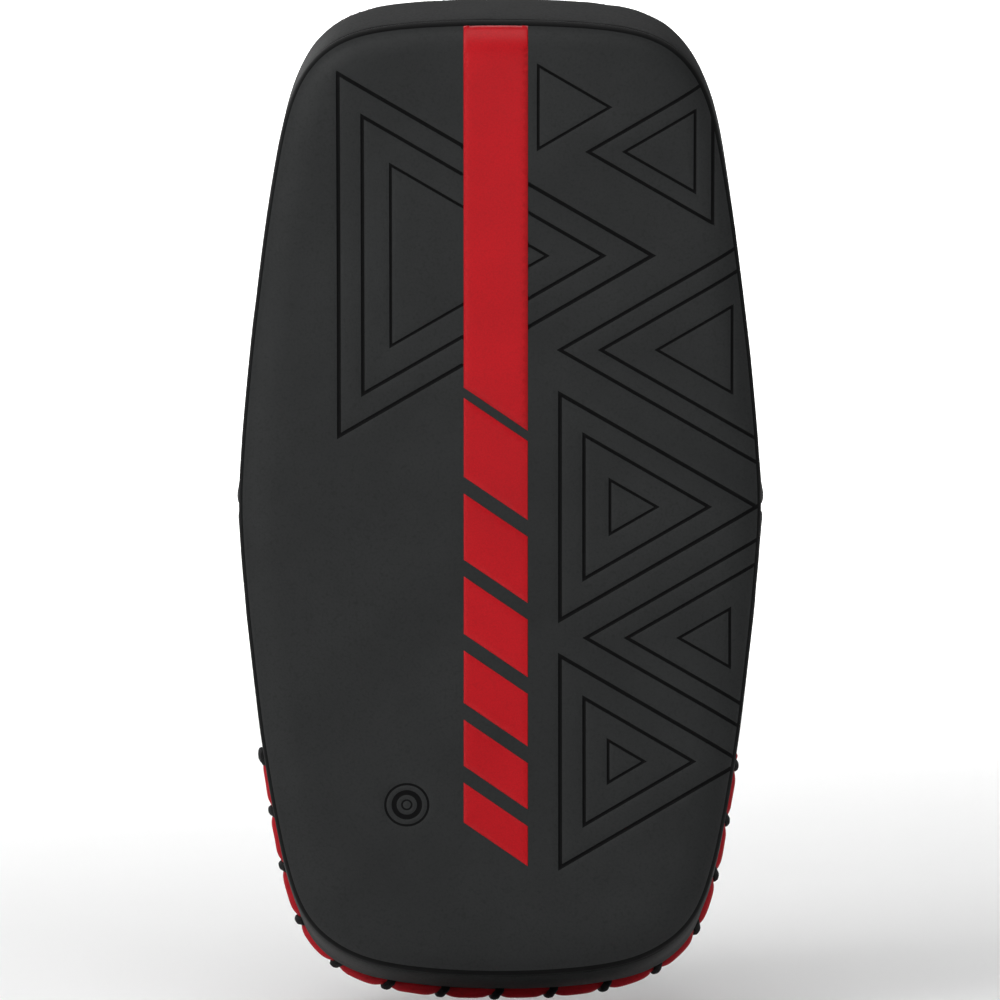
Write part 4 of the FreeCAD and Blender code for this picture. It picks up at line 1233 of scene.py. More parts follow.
# ------------------------------------------------------------------ pieces on the back: helpers
def rounded_loop(x0, x1, y0, y1, r, step=1.6):
    """A rounded rectangle as points, counter-clockwise."""
    r = max(r, 0.05)
    pts = []
    for cx, cy, a0 in ((x1 - r, y0 + r, -90), (x1 - r, y1 - r, 0), (x0 + r, y1 - r, 90), (x0 + r, y0 + r, 180)):
        k = max(2, int(round(r * math.pi / 2 / step)) + 1)
        for j in range(k + 1):
            a = math.radians(a0 + 90 * j / k)
            pts.append((cx + r * math.cos(a), cy + r * math.sin(a)))
    return divide(pts, step)


def surface_rows(ob, origin, direction):
    """Where rays from origins (n, 3) along direction(s) meet an object's mesh: points and normals."""
    from mathutils.bvhtree import BVHTree
    me = ob.data
    tree = BVHTree.FromPolygons([v.co for v in me.vertices], [tuple(p.vertices) for p in me.polygons])
    pts, nrm = [], []
    direction = np.broadcast_to(np.asarray(direction, float), np.asarray(origin).shape)
    for o, d in zip(origin, direction):
        hit, n, _, _ = tree.ray_cast(Vector(o), Vector(d), 0.2)
        if hit is None:
            pts.append(pts[-1] if pts else np.array(o))
            nrm.append(-np.asarray(d))
        else:
            pts.append(np.array(hit))
            n = np.array(n)
            nrm.append(n if n @ np.asarray(d) < 0 else -n)
    return np.array(pts), np.array(nrm)


def sewn(ob, uv, place, mat, top=30.0, length=2.7, gap=1.1, r=0.34, name="thread"):
    """Stitches along the polyline uv on a piece's top surface; place(uv, height) gives room positions."""
    uv = np.asarray(uv, float)
    seg = np.linalg.norm(np.diff(uv, axis=0), axis=1)
    cum = np.concatenate([[0], np.cumsum(seg)])
    k = max(3, int(cum[-1] / 1.2))
    s = np.linspace(0, cum[-1], k)
    q = np.stack([np.interp(s, cum, uv[:, 0]), np.interp(s, cum, uv[:, 1])], 1)
    a, b = place(q, top), place(q, -10.0)
    d = b - a
    d /= np.linalg.norm(d, axis=1)[:, None]
    p, n = surface_rows(ob, a, d)
    return stitches(name, p, -d * 0.7 + n * 0.3, mat, length, gap, r)


def slab(name, boundary, place, mats, mid=0.0, half=1.0, r=1.0, step=3.0, relief=None, ring_max=3.0, extra=()):
    """A flat-cut piece with rounded edges, laid out by place(uv, offset)."""
    boundary = np.asarray(boundary, float)
    loops = []
    for off in (r * 0.05, r * 0.2, r * 0.5, r, r + 1.0):
        if off <= ring_max:
            loops.append((offset_poly(boundary, -off), True))
    for e in extra:
        loops.append(e)
    lo, hi = boundary.min(0), boundary.max(0)
    g = hex_grid(lo[0], hi[0], lo[1], hi[1], step)
    g = g[inside_poly(g, boundary)]
    g = g[seg_distance(g, boundary) > r + 2.0]
    for e, closed in extra:
        g = g[seg_distance(g, e, closed) > 0.9]
    vs, fs, rim = triangulate(g, loops, boundary)
    d = seg_distance(vs, boundary)
    f = np.sqrt(np.clip(1 - (1 - np.clip(d / r, 0, 1)) ** 2, 0, 1))
    hf = half(vs) if callable(half) else np.full(len(vs), float(half))
    md = mid(vs) if callable(mid) else np.full(len(vs), float(mid))
    rel = relief(vs, d) if relief else 0.0
    top = place(vs, md + hf * f + rel)
    rimset = set(rim)
    keep = [i for i in range(len(vs)) if i not in rimset]
    idx = {i: i for i in rimset}
    for k, i in enumerate(keep):
        idx[i] = len(vs) + k
    low = place(vs[keep], (md - hf * f)[keep])
    faces = [tuple(t) for t in fs] + [tuple(idx[i] for i in t)[::-1] for t in fs]
    ob = new_mesh(name, np.concatenate([top, low]), faces, True, mats)
    recalc(ob)
    return ob


def inflate(ob, pinned, frames=18, pressure=4.0, shrink=-0.02, cap=6.0, limit=None):
    """Blows a closed mesh up a little with cloth, pinned where it is sewn, and keeps the result."""
    me = ob.data
    n = len(me.vertices)
    before = np.empty(n * 3)
    me.vertices.foreach_get("co", before)
    before = before.reshape(-1, 3)
    vg = ob.vertex_groups.new(name="pin")
    vg.add([int(i) for i in pinned], 1.0, "REPLACE")
    md = ob.modifiers.new("Cloth", "CLOTH")
    s = md.settings
    s.quality = 6
    s.mass = 0.25
    s.tension_stiffness = 18
    s.compression_stiffness = 18
    s.shear_stiffness = 8
    s.bending_stiffness = 0.9
    s.air_damping = 2.0
    s.use_pressure = True
    s.uniform_pressure_force = pressure
    s.shrink_min = shrink
    s.vertex_group_mass = "pin"
    s.effector_weights.gravity = 0.0
    md.collision_settings.use_collision = False
    md.collision_settings.use_self_collision = False
    md.point_cache.frame_start = 1
    md.point_cache.frame_end = frames
    for f in range(1, frames + 1):
        SCENE.frame_set(f)
    dg = bpy.context.evaluated_depsgraph_get()
    ev = ob.evaluated_get(dg).to_mesh()
    after = np.empty(n * 3)
    ev.vertices.foreach_get("co", after)
    after = after.reshape(-1, 3).copy()
    ob.evaluated_get(dg).to_mesh_clear()
    ob.modifiers.remove(md)
    ob.vertex_groups.remove(vg)
    SCENE.frame_set(1)
    move = after - before
    length = np.linalg.norm(move, axis=1)
    move *= (np.minimum(length, cap * MM) / (length + 1e-12))[:, None]
    move[~np.isfinite(move)] = 0
    out = before + move
    if limit is not None:
        out = limit(out)
    me.vertices.foreach_set("co", out.reshape(-1))
    me.update()


def subdivide(ob, levels=1):
    md = ob.modifiers.new("sub", "SUBSURF")
    md.levels = levels
    md.render_levels = levels
    dg = bpy.context.evaluated_depsgraph_get()
    me = bpy.data.meshes.new_from_object(ob.evaluated_get(dg))
    ob.modifiers.remove(md)
    old = ob.data
    ob.data = me
    bpy.data.meshes.remove(old)
    ob.data.polygons.foreach_set("use_smooth", [True] * len(ob.data.polygons))


# ------------------------------------------------------------------ cushions on the back
def back_place(uv, off):
    return on_back(uv[:, 0], uv[:, 1], off)


R_BACK = R_FACE + D_BACK


def cushion_piece(name, x_half, z0, z1, thick, corner, channels, seed):
    s0, s1 = R_BACK * math.asin(z0 / R_BACK), R_BACK * math.asin(z1 / R_BACK)
    fl = 3.8
    boundary = rounded_loop(-x_half, x_half, s0, s1, corner, 2.6)
    loops = []
    for off in (0.3, 0.9, 1.9, 3.0, fl, fl + 0.8, fl + 2.0, fl + 3.6, fl + 5.6, fl + 8.2):
        if off < corner - 0.3:
            loops.append((rounded_loop(-x_half + off, x_half - off, s0 + off, s1 - off, corner - off, 2.8), True))
        else:
            loops.append((rounded_loop(-x_half + off, x_half - off, s0 + off, s1 - off, 0.3, 2.8), True))
    inner_x = x_half - fl - 0.9
    lines = []
    for c in channels:
        for o in (-4.6, -2.6, -1.2, 0.0, 1.2, 2.6, 4.6):
            lines.append((divide([(-inner_x, c + o), (inner_x, c + o)], 3.0, False), False))
    loops += lines
    g = hex_grid(-x_half, x_half, s0, s1, 3.9)
    g = g[inside_poly(g, boundary)]
    g = g[seg_distance(g, boundary) > fl + 10.5]
    for c in channels:
        g = g[np.abs(g[:, 1] - c) > 6.8]
    vs, fs, rim = triangulate(g, loops, boundary)
    d = seg_distance(vs, boundary)
    dc = np.full(len(vs), 99.0)
    for c in channels:
        dc = np.minimum(dc, np.abs(vs[:, 1] - c))
    dome = lambda e, w: np.sqrt(np.clip(1 - (1 - np.clip(e / w, 0, 1)) ** 2, 0, 1))
    k = 0.78
    hb = 1.5 + (thick * k - 1.5) * dome(d - fl, 12.0)
    floor = 0.36 * thick
    hc = floor + (thick * k - floor) * dome(dc - 0.3, 11.0)
    h = np.minimum(hb, hc)
    flange = 1.75 * np.sqrt(np.clip(1 - (1 - np.clip(d / 0.9, 0, 1)) ** 2, 0, 1)) - 0.35 * np.exp(-((d - fl) / 0.6) ** 2)
    h = np.where(d <= fl, flange, h) + 0.12
    h += 0.10 * wobble(vs, 20, seed) * (d > fl)
    top = back_place(vs, h)
    rimset = set(rim)
    # underside: flat on the panel
    keep = [i for i in range(len(vs)) if i not in rimset]
    idx = {i: i for i in rimset}
    for kk, i in enumerate(keep):
        idx[i] = len(vs) + kk
    low = back_place(vs[keep], np.full(len(keep), 0.1))
    faces = [tuple(t) for t in fs] + [tuple(idx[i] for i in t)[::-1] for t in fs]
    ob = new_mesh(name, np.concatenate([top, low]), faces, True, [BLACK_SOFT])
    recalc(ob)
    pinned = [i for i in range(len(vs)) if d[i] <= fl + 0.1 or dc[i] <= 0.1]
    pinned += list(range(len(vs), len(vs) + len(keep)))

    def limit(p):
        q = p / MM
        y, z = q[:, 1] + ORG[1] + R_FACE, q[:, 2] + ORG[2]
        rad = np.hypot(y, z)
        want = np.clip(rad, R_BACK + 0.1, R_BACK + thick + 0.9)
        f = want / rad
        return np.stack([q[:, 0], y * f - R_FACE - ORG[1], z * f - ORG[2]], 1) * MM

    inflate(ob, pinned, 18, 4.0, -0.025, 6.5, limit)
    subdivide(ob)
    rows = [sewn(ob, np.vstack([rounded_loop(-x_half + 2.1, x_half - 2.1, s0 + 2.1, s1 - 2.1, corner - 2.1, 2.0)] * 1),
                 back_place, THREAD_GREY, 30.0)]
    for c in channels:
        rows.append(sewn(ob, [(-inner_x, c), (inner_x, c)], back_place, THREAD, 30.0, 2.9, 1.2, 0.36))
    rows = join(name + "_thread", rows)
    return ob, rows


forearm, forearm_thread = cushion_piece("forearm_cushion", 51.0, -166.0, 68.0, 18.0, 22.0, (-108.5, -49.0, 10.5), 3.0)
hand, hand_thread = cushion_piece("hand_cushion", 54.0, 80.0, 158.0, 10.0, 14.0, (119.2,), 4.0)
for _o, _t, _nodes in ((forearm, forearm_thread, ("forearm_cushion_cover", "forearm_cushion_foam")),
                       (hand, hand_thread, ("hand_cushion_cover", "hand_cushion_foam"))):
    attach(_o, "pad")
    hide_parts(*_nodes)
    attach(_t, "pad")


# ------------------------------------------------------------------ hand grip and its ears
def spline(points, n):
    """A natural cubic through points, in n + 1 even steps: positions, unit normals, length."""
    p = np.asarray(points, float)
    t = np.concatenate([[0], np.cumsum(np.linalg.norm(np.diff(p, axis=0), axis=1))])
    m = len(p)
    h = np.diff(t)
    a = np.zeros((m, m))
    rhs = np.zeros((m, p.shape[1]))
    a[0, 0] = a[-1, -1] = 1
    for i in range(1, m - 1):
        a[i, i - 1], a[i, i], a[i, i + 1] = h[i - 1], 2 * (h[i - 1] + h[i]), h[i]
        rhs[i] = 6 * ((p[i + 1] - p[i]) / h[i] - (p[i] - p[i - 1]) / h[i - 1])
    mm = np.linalg.solve(a, rhs)
    tt = np.linspace(0, t[-1], 2400)
    k = np.clip(np.searchsorted(t, tt, side="right") - 1, 0, m - 2)
    u, w, hk = (tt - t[k])[:, None], (t[k + 1] - tt)[:, None], h[k][:, None]
    c = mm[k] * w ** 3 / (6 * hk) + mm[k + 1] * u ** 3 / (6 * hk) + (p[k] / hk - mm[k] * hk / 6) * w + (p[k + 1] / hk - mm[k + 1] * hk / 6) * u
    cum = np.concatenate([[0], np.cumsum(np.linalg.norm(np.diff(c, axis=0), axis=1))])
    want = np.linspace(0, cum[-1], n + 1)
    q = np.stack([np.interp(want, cum, c[:, j]) for j in range(p.shape[1])], 1)
    d = np.gradient(q, axis=0)
    d /= np.linalg.norm(d, axis=1)[:, None]
    return q, np.stack([-d[:, 1], d[:, 0]], 1), cum[-1]


def build_ear(side):
    path, nrm, length = spline([(82, 1.95), (78, 1.95), (73, 1.95), (68.5, 2.1), (65.2, 3.2), (62.9, 6.4), (62.05, 11), (61.85, 17),
                                (61.85, 30), (61.85, 45), (61.85, 57), (61.85, 69)], 300)
    us = np.linspace(0, length, 301)
    ys = path[:, 1]

    def u_of_y(y):
        return np.interp(y, ys[120:], us[120:])

    def place(uv, off):
        u, v = uv[:, 0], uv[:, 1]
        x = np.interp(u, us, path[:, 0])
        y = np.interp(u, us, path[:, 1])
        nx = np.interp(u, us, nrm[:, 0])
        ny = np.interp(u, us, nrm[:, 1])
        return panel(side * (x - nx * off), y - ny * off, v, HAND_Z)

    ang = math.radians(14)
    yt, zt = GRIP_N + 17 * math.sin(ang), 17 * math.cos(ang)
    right = []
    for k in range(0, 9):                          # foot corner, 5 mm
        a = math.radians(180 - 90 * k / 8)
        right.append((5 + 5 * math.cos(a), 22.6 + 5 * math.sin(a)))
    w_at = lambda y: 28.0 + (zt - 28.0) * (y + 3) / (yt + 3)
    u_foot = u_of_y(12.0)
    right.append((u_foot - 9, 27.6))
    for y in np.linspace(12, yt, 12):
        right.append((float(u_of_y(y)), float(w_at(y))))
    for k in range(1, 12):
        a = ang + (math.pi / 2 - ang) * k / 12
        right.append((float(u_of_y(min(GRIP_N + 17 * math.sin(a), 68.99))), 17 * math.cos(a)))
    top = (float(u_of_y(68.99)), 0.0)
    poly = [(u, v) for u, v in right] + [top] + [(u, -v) for u, v in reversed(right)]
    boundary = divide(poly, 1.9)
    half = lambda vs: 1.35 + (3.2 - 1.35) * smooth01((vs[:, 0] - 12.0) / 12.0)

    def relief(vs, d):
        return -0.35 * np.exp(-((d - 3.2) / 0.55) ** 2) + 0.10 * wobble(vs, 18, 8.0 + side) * smooth01(d / 4)

    ob = slab("handle_ear_" + ("left" if side < 0 else "right"), boundary, place, [BLACK], 0.0, half, 1.35, 2.8, relief, 4.4,
              extra=[(offset_poly(boundary, -2.7), True), (offset_poly(boundary, -3.2), True), (offset_poly(boundary, -3.7), True)])
    line = offset_poly(boundary, -3.2)
    pts = place(line, half(line) - 0.15)
    out = place(line, half(line) + 1.0) - pts
    inn = place(line, -half(line) + 0.1)
    rows = [stitches("ear_thread", np.vstack([pts, pts[:1]]), np.vstack([out, out[:1]]), THREAD_GREY, 2.7, 1.0, 0.36)]
    sel = line[:, 0] > u_foot - 4
    order = np.where(sel)[0]
    if len(order):
        rows.append(stitches("ear_thread", inn[order], -out[order], THREAD_GREY, 2.7, 1.0, 0.36))
    return ob, rows


ears, ear_rows = [], []
for _side, _node in ((-1, "handle_ear_left"), (1, "handle_ear_right")):
    _o, _rows = build_ear(_side)
    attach(_o, "pad")
    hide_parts(_node)
    ears.append(_o)
    ear_rows += _rows
ear_thread = join("handle_ear_thread", ear_rows)
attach(ear_thread, "pad")


def build_grip():
    """Leather sewn round the foam: a lengthwise seam, gathered ends, soft creases."""
    nx, na = 120, 96
    xs = np.concatenate([np.array([0, 0.05, 0.25, 0.8, 1.8, 3.2]) - GRIP_HALF,
                         np.linspace(-GRIP_HALF + 5, GRIP_HALF - 5, nx - 12), GRIP_HALF - np.array([3.2, 1.8, 0.8, 0.25, 0.05, 0])])
    ang = np.arange(na) / na * 2 * np.pi
    seam = math.radians(200.0)
    verts = []
    for x in xs:
        e = GRIP_HALF - abs(x)
        r = np.full(na, 14.55)
        fold = 4.2 - math.sqrt(max(0.0, 4.2 ** 2 - max(0.0, 4.2 - e) ** 2))
        r -= fold
        a = np.mod(ang - seam + np.pi, 2 * np.pi) - np.pi
        dist = a * 14.5
        r -= 0.75 * np.exp(-(dist / 0.5) ** 2) * smooth01(e / 3)
        r += 0.35 * np.exp(-((np.abs(dist) - 1.7) / 1.1) ** 2)
        p = np.stack([np.full(na, x), 14 * np.cos(ang), 14 * np.sin(ang)], 1)
        r += 0.22 * wobble(p * np.array([1.0, .45, .45]), 9.0, 31.0) * smooth01(e / 6) + 0.10 * wobble(p, 5.0, 32.0)
        g = math.exp(-((e - 5.5) / 1.1) ** 2)
        r -= 0.55 * g                                           # the end's gathered ring
        r += 0.20 * math.exp(-((e - 3.2) / 1.4) ** 2) * np.sin(ang * 26)
        verts.append(np.stack([np.full(na, x) * MM, r * np.cos(ang) * MM, r * np.sin(ang) * MM], 1))
    end = []
    for sgn in (-1, 1):
        for rr, xx in ((8.6, GRIP_HALF + 0.02), (6.4, GRIP_HALF - 0.1), (6.35, GRIP_HALF - 1.2)):
            end.append(np.stack([np.full(na, sgn * xx) * MM, rr * np.cos(ang) * MM, rr * np.sin(ang) * MM], 1))
    rows = [end[2], end[1], end[0]] + verts + [end[3], end[4], end[5]]
    faces = grid_faces(len(rows), na, True, True)
    ob = new_mesh("grip_sleeve", np.concatenate(rows), faces, True, [BLACK_SOFT])
    recalc(ob)
    th = []
    for off in (-2.3, 2.3):
        aa = seam + off / 14.5
        x = np.linspace(-GRIP_HALF + 7.5, GRIP_HALF - 7.5, 90)
        o = np.stack([x * MM, np.full(90, 22 * math.cos(aa) * MM), np.full(90, 22 * math.sin(aa) * MM)], 1)
        d = np.tile([0, -math.cos(aa), -math.sin(aa)], (90, 1))
        p, n = surface_rows(ob, o, d)
        th.append(stitches("grip_thread", p, n, THREAD_GREY, 2.7, 1.1, 0.34))
    return ob, join("grip_thread", th)


grip_ob, grip_thread = build_grip()
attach(grip_ob, "grip")
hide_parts("grip_cover")
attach(grip_thread, "grip")


# ------------------------------------------------------------------ straps
ARCH = [(-88.0, 1.25), (-79.0, 1.25), (-70.0, 1.5), (-63.5, 5.0), (-60.5, 14.0), (-58.0, 27.0), (-51.5, 41.0),
        (-39.0, 53.0), (-21.0, 60.5), (0.0, 62.6), (20.0, 61.2), (37.0, 56.0), (50.0, 47.5), (57.6, 38.5)]
N_LINE = 120
HW = STRAP_W / 2
HT = STRAP_T / 2
LOOP_T, PLAY = 0.9, 0.3
TAIL_OFF = HT + LOOP_T + PLAY + LOOP_T + HT
FOLD_R = BAR_R + 0.3 + HT
arch, arch_n, ARCH_LENGTH = spline(ARCH, N_LINE)
ARCH_STEP = ARCH_LENGTH / N_LINE
bar, pin = np.array(RING_BAR), np.array(RING_PIN)
_e = np.array([57.6, 38.5])
_et = np.array([arch_n[-1][1], -arch_n[-1][0]])
TO_BAR = float((bar - _e) @ _et)


def arch_at(t, off):
    """t mm past the line's end (negative: before it), moved by off to the outer side."""
    if t >= 0:
        return _e + _et * t + arch_n[-1] * off
    k = N_LINE + t / ARCH_STEP
    i = int(math.floor(k))
    f = k - i
    return arch[i] * (1 - f) + arch[i + 1] * f + (arch_n[i] * (1 - f) + arch_n[i + 1] * f) * off


def smooth_path(points, step=1.5):
    q, n, length = spline(points, 4)
    q, n, length = spline(points, max(6, int(length / step)))
    return q, n


def band(name, path, nrm, w, lo, hi, height, mats, nz=26, edge=1.2, taper=0.8, wave=True):
    """A strap layer: along a path in the panel's frame, across z; lo and hi give its faces' offsets at (u, z)."""
    path, nrm = np.asarray(path, float), np.asarray(nrm, float)
    cum = np.concatenate([[0], np.cumsum(np.linalg.norm(np.diff(path, axis=0), axis=1))])
    total = cum[-1]
    us = np.concatenate([[0, .1 * taper, .35 * taper, taper], cum[(cum > taper * 1.5) & (cum < total - taper * 1.5)],
                         [total - taper, total - .35 * taper, total - .1 * taper, total]])
    zt = np.linspace(-(w - edge), w - edge, nz)
    arc = np.radians([54, 18, -18, -54])
    sec_z, sec_k = [], []                      # z, and where between low (-1) and high (1) face
    for z in zt:
        sec_z.append(z)
        sec_k.append(1.0)
    for a in arc:
        sec_z.append((w - edge) + edge * math.cos(a))
        sec_k.append(math.sin(a))
    for z in zt[::-1]:
        sec_z.append(z)
        sec_k.append(-1.0)
    for a in arc[::-1]:
        sec_z.append(-(w - edge) - edge * math.cos(a))
        sec_k.append(math.sin(a))
    sec_z, sec_k = np.array(sec_z), np.array(sec_k)
    rows, uvs = [], []
    for u in us:
        e = min(u, total - u)
        f = math.sqrt(max(0.0, 1 - (1 - min(e / taper, 1)) ** 2))
        f = 0.25 + 0.75 * f
        p = np.array([np.interp(u, cum, path[:, c]) for c in (0, 1)])
        n = np.array([np.interp(u, cum, nrm[:, c]) for c in (0, 1)])
        n /= np.linalg.norm(n)
        uu = np.full(len(sec_z), u)
        h, l = hi(uu, sec_z), lo(uu, sec_z)
        off = (h + l) / 2 + (h - l) / 2 * sec_k * f
        rows.append(panel(p[0] + n[0] * off, p[1] + n[1] * off, sec_z, height))
        uvs.append(np.stack([uu, sec_z], 1))
    c = len(sec_z)
    faces = grid_faces(len(rows), c, False, True)
    faces.append(tuple(range(c))[::-1])
    faces.append(tuple((len(rows) - 1) * c + k for k in range(c)))
    ob = new_mesh(name, np.concatenate(rows), faces, True, mats)
    if wave:
        uvl = ob.data.uv_layers.new(name="weave")
        flat = np.concatenate(uvs)
        li = np.empty(len(ob.data.loops), np.int32)
        ob.data.loops.foreach_get("vertex_index", li)
        uvl.data.foreach_set("uv", flat[li].astype(np.float32).reshape(-1))
    recalc(ob)
    return ob


def const(v):
    return lambda u, z: np.full(len(z), float(v))


def band_row(path, nrm, uz, off, height, mat, length=2.7, gap=1.1, r=0.34, flip=False, name="strap_thread"):
    path, nrm = np.asarray(path, float), np.asarray(nrm, float)
    cum = np.concatenate([[0], np.cumsum(np.linalg.norm(np.diff(path, axis=0), axis=1))])
    uz = np.asarray(uz, float)
    seg = np.concatenate([[0], np.cumsum(np.linalg.norm(np.diff(uz, axis=0), axis=1))])
    s = np.linspace(0, seg[-1], max(4, int(seg[-1] / 1.3)))
    u, z = np.interp(s, seg, uz[:, 0]), np.interp(s, seg, uz[:, 1])
    p = np.stack([np.interp(u, cum, path[:, c]) for c in (0, 1)], 1)
    n = np.stack([np.interp(u, cum, nrm[:, c]) for c in (0, 1)], 1)
    k = -1.0 if flip else 1.0
    a = panel(p[:, 0] + n[:, 0] * off, p[:, 1] + n[:, 1] * off, z, height)
    b = panel(p[:, 0] + n[:, 0] * (off + k), p[:, 1] + n[:, 1] * (off + k), z, height)
    return stitches(name, a, (b - a) / MM, mat, length, gap, r)


def box_rows(u0, u1, w, cross=True):
    rows = [[(u0, -w), (u1, -w), (u1, w), (u0, w), (u0, -w)]]
    if cross:
        rows += [[(u0, -w), (u1, w)], [(u0, w), (u1, -w)]]
    return rows


def patch_piece(name, x0, x1, height, low_top, step_h, strap_half, at, seed):
    """A leather patch sewn down over a strap's end: it stands up over the strap and drops beside it."""
    place = lambda uv, off: panel(uv[:, 0], off, uv[:, 1], at)
    boundary = rounded_loop(x0, x1, -30.0, 30.0, 3.4, 1.8)
    open_side = x1 if x0 < 0 else x0

    def top_at(vs):
        across = smooth01((strap_half + 2.6 - np.abs(vs[:, 1])) / 2.6)
        reach = smooth01((vs[:, 0] - x0 - 2.2) / 2.4) if x0 < 0 else smooth01((x1 - 2.2 - vs[:, 0]) / 2.4)
        return low_top + (step_h - low_top) * across * reach

    half = lambda vs: (top_at(vs) - 0.15) / 2
    mid = lambda vs: (top_at(vs) + 0.15) / 2

    def relief(vs, d):
        return -0.28 * np.exp(-((d - 2.3) / 0.5) ** 2) + 0.08 * wobble(vs, 9, seed)

    ob = slab(name, boundary, place, [BLACK], mid, half, 0.9, 2.0, relief, 3.0,
              extra=[(divide([(x0 + 1.5, s * (strap_half + k)), (x1 - 1.5, s * (strap_half + k))], 1.8, False), False)
                     for s in (-1, 1) for k in (0.0, 1.3, 2.6)])
    rows = [sewn(ob, np.vstack([rounded_loop(x0 + 2.3, x1 - 2.3, -27.7, 27.7, 1.3, 2.0)]), place, THREAD_GREY, 30.0)]
    a, b = x0 + 4.6, x1 - 4.6
    if b - a > 5:
        rows.append(sewn(ob, [(a, -21), (a, 21)], place, THREAD_GREY, 30.0))
        rows.append(sewn(ob, [(b, -21), (b, 21)], place, THREAD_GREY, 30.0))
        for z0 in (-21, 0):
            rows.append(sewn(ob, [(a, z0), (b, z0 + 21)], place, THREAD_GREY, 30.0))
            rows.append(sewn(ob, [(a, z0 + 21), (b, z0)], place, THREAD_GREY, 30.0))
    return ob, rows


def wave_of(seed, amp=0.12):
    rng = np.random.default_rng(seed)
    ph = rng.uniform(0, 6.28, 4)
    return lambda u, z: amp * (np.sin(u / 17.0 + ph[0]) * np.cos(z / 19.0 + ph[1]) + 0.5 * np.sin(u / 7.3 + ph[2] + z / 23.0))


